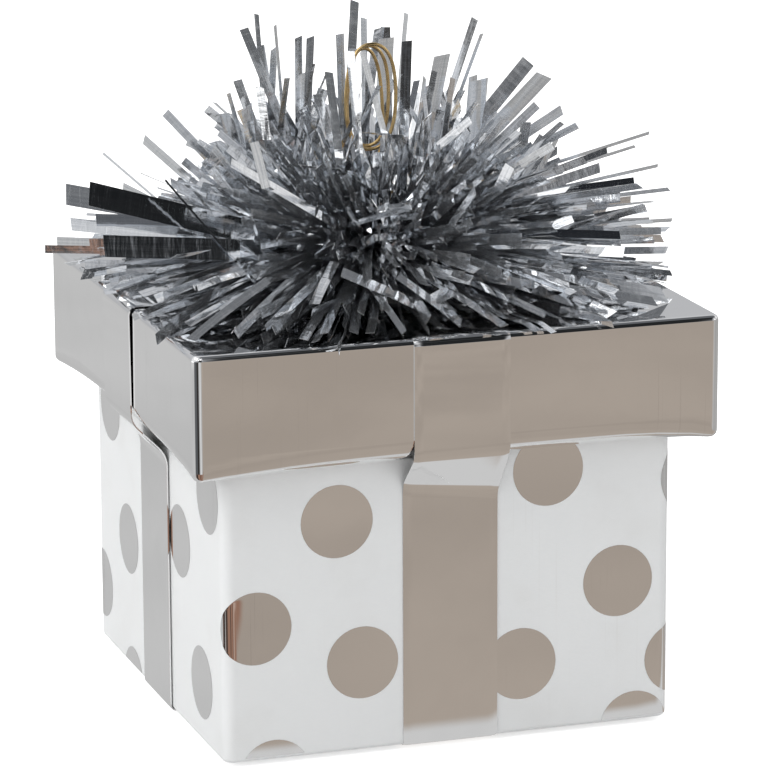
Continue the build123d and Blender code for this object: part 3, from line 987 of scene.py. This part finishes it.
# Strips that stand out of the burst: places of the tip and of the root in the frame's pixels, how far
# the tip stands toward the camera and the width in mm, and the shade that the strip mirrors.
standing_strips = [
    (243, 29, 320, 215, -3, 1.1, 0.2),
    (258, 14, 268, 170, -6, 0.6, 0.2),
    (263, 45, 288, 215, -7, 0.6, 0.2),
    (277, 25, 290, 210, -4, 0.4, 0.4),
    (273, 48, 268, 170, -5, 0.9, 0.4),
    (298, 37, 300, 210, -8, 0.95, 0.24),
    (309, 37, 305, 200, -3, 0.95, 0.2),
    (314, 64, 292, 170, -1, 0.4, 0.14),
    (340, 34, 345, 200, -9, 1.0, 0.3),
    (354, 1, 345, 190, -9, 1.1, 0.2),
    (352, 51, 362, 190, 9, 0.95, 2.0),
    (361, 52, 392, 160, 9, 0.75, 2.0),
    (385, 38, 380, 200, -8, 1.9, 0.38),
    (364, 18, 366, 190, -10, 0.8, 0.14),
    (376, 28, 356, 190, -10, 1.1, 0.2),
    (388, 27, 388, 190, -10, 1.2, 0.08),
    (404, 13, 392, 190, -10, 0.8, 0.5),
    (408, 41, 401, 205, 6, 1.25, 0.035),
    (238, 80, 280, 200, 2, 1.1, 0.2),
    (330, 72, 343, 190, 9, 1.0, 0.12),
    (388, 136, 385, 178, 8, 1.7, 0.3),
    (381, 152, 377, 205, 9, 1.9, 0.45),
    (359, 148, 374, 190, 9, 1.1, 0.9),
    (366, 156, 371, 200, 8, 1.8, 0.2),
    (357, 172, 356, 205, 10, 1.6, 0.4),
    (318, 94, 352, 200, 6, 1.1, 0.16),
    (230, 93, 262, 215, 0, 0.5, 0.3),
    (226, 113, 248, 225, 4, 1.7, 0.35),
    (254, 142, 266, 188, 23, 1.05, 2.0),
    (232, 162, 322, 216, 24, 1.0, 2.0),
    (166, 112, 290, 245, -2, 1.1, 0.35),
    (145, 138, 270, 252, 0, 1.05, 0.45),
    (103, 153, 230, 262, -6, 0.4, 0.8),
    (183, 161, 290, 250, 3, 1.0, 0.16),
    (171, 182, 290, 250, 5, 1.0, 0.14),
    (66, 194, 300, 236, 12, 2.5, 0.2),
    (89, 194, 255, 233, 21, 2.8, 0.022),
    (96, 220, 255, 222, 19, 1.4, 0.04),
    (71, 224, 260, 244, 12, 1.5, 1.6),
    (104, 246, 240, 250, 25, 2.6, 0.022),
    (45, 249, 300, 253, -1, 1.0, COPPER),
    (57, 241, 300, 250, -3, 1.1, 0.5),
    (442, 55, 412, 210, 4, 1.8, 0.4),
    (473, 18, 414, 205, -2, 0.9, 0.07),
    (480, 33, 420, 205, -4, 0.4, 0.16),
    (479, 80, 468, 200, -5, 2.5, 0.36),
    (475, 76, 462, 200, -7, 1.0, 0.4),
    (528, 61, 420, 195, -6, 1.8, 0.2),
    (545, 76, 430, 195, -4, 2.6, 0.24),
    (538, 106, 430, 205, 3, 1.1, 0.22),
    (562, 110, 440, 190, -2, 1.5, 0.24),
    (577, 125, 440, 195, 2, 1.3, 0.24),
    (649, 132, 450, 197, -8, 0.55, 0.3),
    (635, 146, 450, 205, -6, 0.5, 0.25),
    (607, 150, 450, 210, 0, 0.75, 0.1),
    (658, 166, 450, 212, -5, 0.5, 0.3),
    (634, 180, 450, 205, 2, 0.8, 0.04),
    (669, 189, 450, 215, -4, 0.5, 0.3),
    (620, 190, 450, 205, 6, 1.0, 0.16),
    (646, 208, 450, 245, 2, 1.0, 0.18),
    (672, 220, 450, 232, -3, 0.5, 0.35),
    (661, 231, 450, 235, 3, 0.8, 0.12),
    (653, 238, 450, 262, 6, 0.5, 0.25),
    (667, 250, 510, 252, 8, 1.5, 0.42),
    (654, 270, 450, 255, -2, 0.5, 0.35),
    (620, 235, 450, 230, 8, 1.0, 0.05),
    (164, 181, 262, 291, 21, 0.25, 0.03),
    (287, 78, 276, 160, -2, 0.7, 0.35),
    (303, 73, 299, 175, -5, 1.5, 0.3),
    (327, 73, 305, 125, 4, 0.25, 0.05),
    (246, 107, 254, 165, 3, 1.3, 0.45),
    (260, 87, 267, 140, 5, 1.0, 2.0),
    (212, 150, 240, 185, 8, 1.3, 0.3),
    (204, 160, 236, 200, 10, 1.0, 0.16),
    (526, 122, 523, 142, 4, 1.2, 2.0),
    (510, 166, 498, 190, 14, 1.3, 2.0),
    (645, 207, 565, 230, 7, 1.3, 0.3),
    (440, 110, 428, 180, 6, 1.0, 0.05),
    (452, 78, 440, 170, 5, 0.9, 0.6),
    (600, 168, 500, 200, 8, 1.2, 0.2),
    (585, 160, 505, 190, 8, 0.9, 0.4),
    (552, 145, 480, 190, 9, 1.1, 0.14),
    (505, 118, 455, 185, 8, 1.1, 0.3),
    (640, 186, 545, 200, 9, 1.0, 0.3),
]

# Strips that drape over the lid: places of the tip and of the root in the frame's pixels, their heights
# above the lid and the width in mm, and the shade that the strip mirrors.
draped_strips = [
    (155, 333, 250, 270, 1.2, 5, 1.3, 0.3),
    (217, 322, 262, 285, 1.4, 5, 1.2, 0.35),
    (236, 334, 290, 282, 1.0, 5, 1.1, 0.16),
    (190, 338, 268, 280, 1.2, 6, 1.0, 0.1),
    (266, 329, 322, 276, 1.2, 6, 1.2, 0.5),
    (314, 302, 335, 262, 4, 7, 1.2, 0.6),
    (421, 307, 342, 272, 2.5, 7, 1.4, 0.16),
    (405, 330, 362, 275, 1.1, 6, 0.9, 0.12),
    (434, 300, 456, 288, 5, 5, 1.5, 0.9),
    (462, 322, 398, 276, 1.2, 6, 1.0, 0.2),
    (505, 325, 415, 270, 1.1, 6, 1.1, 0.12),
    (545, 316, 430, 264, 1.1, 6, 1.0, 0.2),
    (590, 308, 440, 262, 1.1, 6, 1.1, 0.1),
    (630, 300, 460, 264, 1.1, 6, 1.1, 0.16),
    (665, 291, 520, 276, 1.4, 5, 1.8, 0.05),
    (655, 302, 500, 280, 1.2, 5, 1.2, 0.12),
    (184, 277, 260, 258, 3, 6, 1.3, 0.45),
    (150, 302, 255, 264, 1.5, 6, 1.2, 0.16),
    (133, 318, 240, 272, 1.2, 5, 1.1, 0.3),
    (120, 296, 240, 262, 1.3, 5, 1.2, 0.12),
    (106, 270, 235, 256, 1.6, 5, 1.3, 0.12),
    (105, 283, 240, 258, 1.5, 5, 1.2, 0.25),
    (170, 320, 252, 276, 1.2, 5, 0.9, 0.6),
]

# Layers of the rest of the burst: count, lowest and highest elevation in degrees, shortest and longest
# as shares of full reach, narrowest and widest as shares of the usual width, share with a kink, and how
# flat they lie.
burst_layers = [
    (170, -7, 4, 0.9, 1.08, 0.7, 1.3, 0.1, 0.8),
    (320, -7, 9, 0.72, 1.03, 0.6, 1.25, 0.15, 0.0),
    (440, 5, 42, 0.62, 0.92, 0.6, 1.25, 0.2, 0.0),
    (240, 35, 76, 0.65, 1.0, 0.6, 1.2, 0.2, 0.0),
]
FOLDED_STRIPS = 250


def strip_blank():
    """One flat strip of unit length and width, cut across into short lengths."""
    start_fresh()
    bpy.ops.mesh.primitive_grid_add(x_subdivisions=STRIP_STEPS, y_subdivisions=1, size=1)
    blank = bpy.context.object
    blank.name = "strip_blank"
    return blank


def resting_height(point):
    """The lowest that a strip may hang at a place: on the disc, on the lid, or past the lid's edge."""
    if math.hypot(point.x, point.y) < disc_reach:
        return disc_top + strip_on_disc
    if max(abs(point.x), abs(point.y)) < lid_half + lid_overhang:
        return lid_top + strip_on_lid
    return lid_top - hang_past_lid


def strip_run(start, heading, length, droop, sway, kinks):
    """A strip's line and its heading at each cut, bending as it goes and resting on what lies below."""
    points, headings = [start.copy()], [heading.copy()]
    step = length / STRIP_STEPS
    for cut in range(STRIP_STEPS):
        share = (cut + 1) / STRIP_STEPS
        sag = Vector((0, 0, -1)) * (droop * share / STRIP_STEPS)
        heading = (heading + sag + sway / STRIP_STEPS).normalized()
        if cut in kinks:
            heading = Matrix.Rotation(kinks[cut][0], 3, kinks[cut][1]) @ heading
        point = points[-1] + heading * step
        point.z = max(point.z, resting_height(point))
        points.append(point)
        headings.append((points[-1] - points[-2]).normalized())
    headings[0] = headings[1]
    return points, headings


def fouls_loop(points):
    """True for a strip that would stand in the way of the turning tie loop or its sleeve."""
    for point in points:
        out = math.hypot(point.x, point.y)
        if out < stem_clear_radius or (point.z > ferrule_top - well_depth and out < loop_clear_radius):
            return True
    return False


def outside_box(points):
    """True for a strip that would reach past the solids' own box by more than a little."""
    return any(
        point[axis] < cad_low[axis] - box_spare or point[axis] > cad_high[axis] + box_spare
        for point in points
        for axis in range(3)
    )


def strip_sides(headings, facing, turn, twist):
    """The direction across the strip at each cut, turned from facing a way and twisting along it."""
    sides = []
    for cut, heading in enumerate(headings):
        flat = (facing - heading * facing.dot(heading)).normalized()
        side = heading.cross(flat)
        sides.append(Matrix.Rotation(turn + twist * cut / STRIP_STEPS, 3, heading) @ side)
    return sides


def lay_strip(tuft, blank, run, sides, width, tone, slant):
    """Adds one strip to a tuft: the blank bent along its run, with its cut end slanted."""
    points, headings = run
    first, first_face = len(tuft.verts), len(tuft.faces)
    tuft.from_mesh(blank)
    tuft.verts.ensure_lookup_table()
    tuft.faces.ensure_lookup_table()
    tone_layer = tuft.verts.layers.float["strip_tone"]
    uv_layer = tuft.loops.layers.uv["UVMap"]
    length = (points[-1] - points[0]).length
    offset = chance.uniform(0, pattern_length)
    for vert in tuft.verts[first:]:
        cut = round((vert.co.x + 0.5) * STRIP_STEPS)
        across = vert.co.y
        place = points[cut] + sides[cut] * (across * width)
        if cut == STRIP_STEPS:
            place += headings[cut] * (across * slant * width)
        vert.co = place
        vert[tone_layer] = tone
    for face in tuft.faces[first_face:]:
        for corner in face.loops:
            share, across = corner[uv_layer].uv
            corner[uv_layer].uv = (offset + share * length / MM, across)


def turned_to_shade(run, facing, shade):
    """The turn of a strip from facing the camera, the smaller the better, that best mirrors a shade."""
    middle, heading = run[0][MIDDLE_CUT], run[1][MIDDLE_CUT]
    best_turn, best_miss = 0.0, math.inf
    for degrees in sorted(range(-TURN_LIMIT, TURN_LIMIT + 1, TURN_STEP), key=abs):
        miss = TURN_COST * abs(degrees)
        for nearby in NEARBY_TURNS:
            turn = math.radians(degrees + nearby)
            flat = heading.cross(strip_sides([heading], facing, turn, 0.0)[0])
            seen = flat * (2 * flat.dot(facing)) - facing
            bright, tint = mirrored_shade(middle, seen)
            if shade == COPPER:
                miss += 1 - TINT_COST * tint
            else:
                miss += abs(math.sqrt(bright) - math.sqrt(shade)) + TINT_COST * tint
        if miss < best_miss:
            best_turn, best_miss = math.radians(degrees), miss
    return best_turn


def led_from_waist(shown, facing, turn, twist):
    """A strip, with its sides, led edge-on from the waist to where it shows, and on to its tip. One that
    would foul the loop on the way keeps to the part that shows."""
    root = shown[0][0]
    start = waist + Vector((root.x, root.y, 0)).normalized() * (root_usual * MM)
    points = [start.lerp(root, cut / MIDDLE_CUT) for cut in range(MIDDLE_CUT)] + shown[0][::2]
    for point in points:
        point.z = max(point.z, resting_height(point))
    if fouls_loop(points):
        return shown, strip_sides(shown[1], facing, turn, twist)
    headings = [(there - here).normalized() for here, there in zip(points, points[1:])]
    headings.insert(MIDDLE_CUT, headings[MIDDLE_CUT])
    sides = strip_sides(headings, facing, turn, twist)
    for cut in range(MIDDLE_CUT):
        sides[cut] = Matrix.Rotation(edge_on * (1 - cut / MIDDLE_CUT), 3, headings[cut]) @ sides[cut]
    return (points, headings), sides


def standing_runs():
    """The strips that stand out of the burst: each one's line, sides, width, tone and slant of its end."""
    level_root, wide, wide_slant, narrowest_turn = 0.8, 2, 0.1, 0.7
    made = []
    for tip_x, tip_y, root_x, root_y, toward, width, shade in standing_strips:
        upright = abs(tip_y - root_y) > abs(tip_x - root_x)
        tip = spot(tip_x, tip_y, toward * MM)
        root = spot(root_x, root_y, toward * (1.0 if upright else level_root) * MM)
        facing = (main_camera.matrix_world.translation - tip).normalized()
        heading = (tip - root).normalized()
        bow = view_across * chance.uniform(-0.03, 0.03)
        run = strip_run(root, heading, (tip - root).length, 0.0, bow, {})
        turn = turned_to_shade(run, facing, shade)
        run, sides = led_from_waist(run, facing, turn, math.radians(chance.uniform(-4, 4)))
        slant = chance.choice((0, 0, 0, 0.2, -0.2, 0.45)) if width < wide else wide_slant
        # A strip placed to mirror a lamp takes the brightest foil colour, a painted highlight.
        tone = PAINTED_GLINT_TONE if shade > 1 else BLACK_TONE if 0 < shade < BLACK_LIMIT else PLAIN_TONE
        made.append((run, sides, width * MM / max(narrowest_turn, math.cos(turn)), tone, slant))
    return made


def lid_spot(pixel_x, pixel_y, height):
    """The place at a height above the lid that shows at a pixel."""
    apart = 10 * MM
    near, far = spot(pixel_x, pixel_y, 0.0), spot(pixel_x, pixel_y, apart)
    return near + (far - near) * ((lid_top + height - near.z) / (far.z - near.z))


def draped_runs():
    """The strips that drape over the lid, as the standing ones are given."""
    droop = 0.25
    made = []
    for tip_x, tip_y, root_x, root_y, tip_height, root_height, width, shade in draped_strips:
        tip, root = lid_spot(tip_x, tip_y, tip_height * MM), lid_spot(root_x, root_y, root_height * MM)
        facing = (main_camera.matrix_world.translation - tip).normalized()
        bow = Vector((0, 0, chance.uniform(0.0, 0.12)))
        run = strip_run(root, (tip - root).normalized(), (tip - root).length, droop, bow, {})
        turn = turned_to_shade(run, facing, shade)
        run, sides = led_from_waist(run, facing, turn, math.radians(chance.uniform(-12, 12)))
        made.append((run, sides, width * MM, PLAIN_TONE, chance.choice((0, 0.3, -0.3, 0.6))))
    return made


def reach_at(azimuth, elevation):
    """How far a full-length strip reaches at an azimuth and elevation: far round the lid, less on top."""
    square = side_reach / max(abs(math.cos(azimuth)), abs(math.sin(azimuth)))
    skirt = min(corner_reach, square)
    share = max(0.0, math.sin(elevation))
    return skirt * (1 - share) + top_reach * share


def random_way():
    """A vector of random direction and length."""
    return Vector([chance.gauss(0, 1) for _ in range(3)])


def random_root(flat, farthest, lowest):
    """A random place for a strip's root in the waist, out along a level direction."""
    out = flat * chance.uniform(root_nearest, farthest) * MM
    return waist + out + Vector((0, 0, chance.uniform(lowest, root_highest) * MM))


def scattered_runs(count, low, high, shortest, longest, width_low, width_high, kinked, lying):
    """One layer's strips, spread evenly round the burst between two elevations."""
    wander_share, level_droop, facing_scatter, twist_spread = 0.05, 0.14, 0.6, 22
    made = []
    low_sine, high_sine = math.sin(math.radians(low)), math.sin(math.radians(high))
    index = 0
    while len(made) < count:
        index += 1
        azimuth = 2 * math.pi * ((index * GOLDEN_SHARE) % 1.0)
        elevation = math.asin(chance.uniform(low_sine, high_sine))
        heading = Vector(
            (
                math.cos(azimuth) * math.cos(elevation),
                math.sin(azimuth) * math.cos(elevation),
                math.sin(elevation),
            )
        )
        flat = Vector((math.cos(azimuth), math.sin(azimuth), 0))
        start = random_root(flat, farthest=4.6, lowest=-1.6)
        length = reach_at(azimuth, elevation) * chance.uniform(shortest, longest) - root_length
        wander = random_way()
        heading = (heading + wander * wander_share).normalized()
        kinks = {}
        if chance.random() < kinked:
            axis = random_way().normalized()
            kinks[chance.randrange(3, 10)] = (math.radians(chance.uniform(12, 45)), axis)
        sway = wander.cross(heading) * wander_share
        run = strip_run(start, heading, length, level_droop * math.cos(elevation), sway, kinks)
        if fouls_loop(run[0]) or outside_box(run[0]):
            continue
        across = Vector((-flat.y, flat.x, 0)) * ((1 - lying) * chance.choice((-1, 1)))
        facing = across + Vector((0, 0, lying)) + facing_scatter * random_way()
        sides = strip_sides(run[1], facing, 0.0, math.radians(chance.gauss(0, twist_spread)))
        width = strip_width * (width_low + (width_high - width_low) * chance.random() ** 1.2)
        made.append((run, sides, width, chance.random() ** 1.3, chance.choice((0, 0, 0.6, -0.6))))
    return made


def folded_runs(count):
    """Strips that rise out of the bound waist and fold over into a tangle round it."""
    first_turn, low_sine, high_sine = 0.31, 0.05, 0.93
    refolded, droop, sway_share, twist_spread = 0.4, 0.1, 0.15, 45
    made = []
    index = 0
    while len(made) < count:
        index += 1
        azimuth = 2 * math.pi * ((index * GOLDEN_SHARE + first_turn) % 1.0)
        elevation = math.asin(chance.uniform(low_sine, high_sine))
        flat = Vector((math.cos(azimuth), math.sin(azimuth), 0))
        heading = (flat * math.cos(elevation) + Vector((0, 0, math.sin(elevation)))).normalized()
        start = random_root(flat, farthest=4.4, lowest=-1.0)
        wander = random_way()
        axis = (wander - heading * wander.dot(heading)).normalized()
        kinks = {chance.randrange(3, 7): (math.radians(chance.uniform(45, 105)), axis)}
        if chance.random() < refolded:
            kinks[chance.randrange(8, 11)] = (math.radians(chance.uniform(-70, 70)), axis)
        length = chance.uniform(15, 27) * MM
        run = strip_run(start, heading, length, droop, wander.cross(heading) * sway_share, kinks)
        if fouls_loop(run[0]) or outside_box(run[0]):
            continue
        sides = strip_sides(run[1], random_way(), 0.0, math.radians(chance.gauss(0, twist_spread)))
        made.append((run, sides, strip_width * chance.uniform(0.6, 1.3), chance.uniform(0.3, 1.0), 0))
    return made


def make_tinsel():
    """Eight tufts of strips, each taking the strips that spread over its own eighth of the burst."""
    strips = standing_runs() + draped_runs()
    for layer in burst_layers:
        strips += scattered_runs(*layer)
    strips += folded_runs(FOLDED_STRIPS)
    blank = strip_blank()
    for index in range(TUFTS):
        tuft = bmesh.new()
        tuft.verts.layers.float.new("strip_tone")
        tuft.loops.layers.uv.new("UVMap")
        for strip in strips:
            middle = strip[0][0][MIDDLE_CUT]
            turn = math.atan2(middle.y, middle.x) % (2 * math.pi)
            if int(turn / (2 * math.pi) * TUFTS) % TUFTS == index:
                lay_strip(tuft, blank.data, *strip)
        piece = bpy.data.objects.new("tinsel_strips", bpy.data.meshes.new("tinsel_strips"))
        tuft.to_mesh(piece.data)
        tuft.free()
        bpy.context.collection.objects.link(piece)
        apply_modifier(piece, "SOLIDIFY", thickness=strip_film, offset=0.0)
        number = index + 1
        finish_piece(piece, f"tinsel_strips_{number}", "tinsel_foil", "weight", [f"tinsel_tuft_{number}"])
    bpy.data.objects.remove(blank)


def make_gather():
    """The crumpled roots of the strips, drawn together in a ring round the stem above the disc."""
    ring, thickness, crumple, stretch = 4.6 * MM, 2.3 * MM, 0.5 * MM, 1.15
    start_fresh()
    bpy.ops.mesh.primitive_torus_add(
        major_radius=ring, minor_radius=thickness, major_segments=56, minor_segments=18, location=waist
    )
    gather = bpy.context.object
    bpy.ops.object.mode_set(mode="EDIT")
    bpy.ops.mesh.select_all(action="SELECT")
    bpy.ops.transform.vertex_random(offset=crumple, uniform=0.4, normal=0.6, seed=5)
    bpy.ops.transform.resize(value=(1, 1, stretch), center_override=waist)
    bpy.ops.object.mode_set(mode="OBJECT")
    gather.data.attributes.new("strip_tone", "FLOAT", "POINT")
    finish_piece(gather, "tinsel_gather", "tinsel_foil", "weight")


def make_tie_loop():
    """The gold wire tie: three turns of an upright eye with both ends led down into the sleeve."""
    half_width = (loop_high.x - loop_low.x) / 2 - wire_gauge / 2
    eye_rise, pitch, corner_count, last_shoulder = 4.9 * MM, 0.3 * MM, 10, 0.8
    low, high = loop_low.z + eye_rise, loop_high.z - wire_gauge / 2
    turn_widths, turn_drops, lean = (1.1, 0.9, 0.55), (0.0, 0.4 * MM, 0.9 * MM), -0.4 * MM
    left_bow = 0.45 * MM
    tail_apart, tail_inside, tail_above = 0.75 * MM, 0.4 * MM, 1.6 * MM
    shoulder_apart, shoulder_rise = 2.05 * MM, 0.6 * MM

    def tail(way, shoulder):
        """One end of the wire, from inside the sleeve up to a shoulder of the eye."""
        return [
            Vector((0, way * tail_apart, ferrule_top - tail_inside)),
            Vector((0, way * tail_apart, ferrule_top + tail_above)),
            Vector((shoulder, way * shoulder_apart, low + shoulder_rise)),
        ]

    points = tail(-1, -half_width)
    corners = [(-1, high, -1), (1, high, -1), (1, low, 0.5), (-1, low, 0.5)]
    for index in range(corner_count):
        side, level, drawn = corners[index % 4]
        width, drop = turn_widths[index // 4], turn_drops[index // 4]
        reach = lean + side * half_width * width - (left_bow / width if side < 0 else 0.0)
        along = (index - (corner_count - 1) / 2) * pitch
        points.append(Vector((reach, along, level + drawn * drop)))
    points += reversed(tail(1, half_width * last_shoulder))
    shape = bpy.data.curves.new("tie_wire", "CURVE")
    shape.dimensions = "3D"
    wire = shape.splines.new("NURBS")
    wire.points.add(len(points) - 1)
    for held, point in zip(wire.points, points):
        held.co = (*point, 1)
    wire.order_u = 3
    wire.use_endpoint_u = True
    wire.resolution_u = 14
    shape.bevel_depth = wire_gauge / 2
    shape.bevel_resolution = 5
    shape.use_fill_caps = True
    loop = bpy.data.objects.new("tie_wire", shape)
    bpy.context.collection.objects.link(loop)
    start_fresh()
    loop.select_set(True)
    bpy.context.view_layer.objects.active = loop
    bpy.ops.object.convert(target="MESH")
    loop = bpy.context.object
    finish_piece(loop, "gold_tie_loop", "gold_wire", "loop", ["tie_loop"], smooth_angle=60)


make_lid_shell("lid_film", 0.0, lid_film, lid_hem, "lid_foil", "lid_foil")
make_lid_shell("lid_card_shell", lid_film + layer_gap, lid_card, card_hem, "lid_card", "lid_board")
make_ribbon(
    "ribbon_over_front",
    turn=math.pi / 2,
    lift=0.0,
    stand_offs=(0, 0.1 * MM),
    tucks=(5 * MM, 5 * MM),
    wall_gap=0.1 * MM,
    fold_slant=0.13,
    camber=0.1 * MM,
    replaced=["ribbon_front_back"],
)
make_ribbon(
    "ribbon_over_sides",
    turn=0.0,
    lift=0.2 * MM,
    stand_offs=(0.12 * MM, 0.1 * MM),
    tucks=(3.6 * MM, 5 * MM),
    wall_gap=0.18 * MM,
    fold_slant=0.0,
    camber=0.0,
    replaced=["ribbon_left_right"],
)
make_dots()
make_tinsel()
make_gather()
make_tie_loop()


def card_share(tree, way, azimuth, elevation, half_angle, softness):
    """How far a direction lies on a card or in a sector, from nodes."""
    nearness = add_node(
        tree, "ShaderNodeVectorMath", {0: way, 1: heading_at(azimuth, elevation)}, operation="DOT_PRODUCT"
    ).outputs["Value"]
    return ramp_out(tree, nearness, *soft_edge(half_angle, softness))


def switched(tree, ray, otherwise, then):
    """One shader for a kind of ray, and another for the rest."""
    return add_node(tree, "ShaderNodeMixShader", {0: ray, 1: otherwise, 2: then}).outputs[0]


def light_studio():
    """The world: white behind the object, even ambient light, and cards that only reflections show."""
    world = bpy.data.worlds.new("studio_surround")
    bpy.context.scene.world = world
    world.use_nodes = True
    tree = world.node_tree
    tree.nodes.clear()
    way = tree.nodes.new("ShaderNodeTexCoord").outputs["Generated"]
    height = add_node(tree, "ShaderNodeSeparateXYZ", {0: way}).outputs["Z"]
    colour = mix_colour(tree, ramp_out(tree, height, 0.0, sky_top), sky_low, sky_high)
    for *card, shade in studio_cards:
        colour = mix_colour(tree, card_share(tree, way, *card), colour, shade)
    ambient, mirrored, backdrop = (
        add_node(tree, "ShaderNodeBackground", {"Color": tint, "Strength": strength}).outputs[0]
        for tint, strength in ((ambient_tint, ambient_strength), (colour, 1.0), (grey(1.0), 1.0))
    )
    path = tree.nodes.new("ShaderNodeLightPath").outputs
    seen = switched(tree, path["Is Glossy Ray"], ambient, mirrored)
    seen = switched(tree, path["Is Camera Ray"], seen, backdrop)
    add_node(tree, "ShaderNodeOutputWorld", {"Surface": seen})


def lay_floor():
    """A plain white floor. Reflections show it glowing instead, a painted surround in sectors of grey, taupe,
    white and copper.
    """
    floor_side, near_edge, far_edge = 6, 0.9 * MM, 1.1 * MM
    band_start, band_full, band_end = 2 * MM, 4.5 * MM, 8 * MM
    band_grey, camera_lift = 0.6, 0.6
    start_fresh()
    bpy.ops.mesh.primitive_plane_add(size=floor_side, location=(0, 0, 0))
    floor = bpy.context.object
    floor.name = "studio_floor"
    material, tree, shader, place = new_material("studio_floor")
    set_shader(tree, shader, Base_Color=grey(0.9), Roughness=0.9, Specular_IOR_Level=0.0)
    parts = add_node(tree, "ShaderNodeSeparateXYZ", {0: place}).outputs
    flat = add_node(tree, "ShaderNodeCombineXYZ", {"X": parts["X"], "Y": parts["Y"]}).outputs[0]
    flat = vector_out(tree, "ADD", flat, (box_half, box_half, 0))
    bearing = add_node(tree, "ShaderNodeVectorMath", {0: flat}, operation="NORMALIZE").outputs[0]
    colour = grey(floor_grey)
    away = add_node(tree, "ShaderNodeVectorMath", {0: flat}, operation="LENGTH").outputs["Value"]
    for azimuth, half_angle, softness, nearest, farthest, shade in floor_sectors:
        share = card_share(tree, bearing, azimuth, 0, half_angle, softness)
        if nearest > 0:
            begun = ramp_out(tree, away, near_edge * nearest, far_edge * nearest)
            share = work_out(tree, "MULTIPLY", share, begun)
        if farthest < FAR:
            unended = ramp_out(tree, away, near_edge * farthest, far_edge * farthest, 1.0, 0.0)
            share = work_out(tree, "MULTIPLY", share, unended)
        colour = mix_colour(tree, share, colour, shade)
    cloud = ramp_out(tree, noise_out(tree, place, 14.0, 2.0), 0.3, 0.7, 0.93, 1.06)
    colour = vector_out(tree, "MULTIPLY", colour, cloud)
    # In reflections only, a painted grey band lies on the floor just in front of the box.
    before = work_out(tree, "MULTIPLY", parts["Y"], -1.0)
    begun = ramp_out(tree, before, box_half - band_start, box_half)
    unended = ramp_out(tree, before, box_half + band_full, box_half + band_end, 1.0, 0.0)
    band_at_box = work_out(tree, "MULTIPLY", begun, unended)
    colour = mix_colour(tree, band_at_box, colour, grey(band_grey))
    glow = add_node(tree, "ShaderNodeEmission", {"Color": colour})
    path = tree.nodes.new("ShaderNodeLightPath").outputs
    lift = work_out(tree, "MULTIPLY", path["Is Camera Ray"], camera_lift)
    set_shader(tree, shader, Emission_Color=grey(1.0), Emission_Strength=lift)
    mixed = switched(tree, path["Is Glossy Ray"], shader.outputs[0], glow.outputs[0])
    tree.links.new(mixed, tree.nodes["Material Output"].inputs["Surface"])
    floor.data.materials.append(material)


def hang_lamp(name, azimuth, elevation, distance, side, power):
    """A square soft lamp aimed at the box. Mirror surfaces see the studio cards in its place."""
    way = Vector(heading_at(azimuth, elevation))
    bpy.ops.object.light_add(type="AREA", location=waist + way * distance)
    lamp = bpy.context.object
    lamp.name = name
    lamp.rotation_euler = way.to_track_quat("Z", "Y").to_euler()
    lamp.data.shape = "SQUARE"
    lamp.data.size = side
    lamp.data.energy = power
    lamp.visible_glossy = False


# Lamps: name, azimuth and elevation in degrees, distance and side in metres, and power in watts.
studio_lamps = [
    ("key_lamp", -80, 38, 0.9, 0.7, 4.8),
    ("front_lamp", 20, 16, 1.0, 0.8, 1.45),
    ("back_lamp", 150, 32, 0.95, 0.8, 3.6),
]

light_studio()
lay_floor()
for lamp_place in studio_lamps:
    hang_lamp(*lamp_place)
bpy.context.scene.view_settings.view_transform = "Standard"
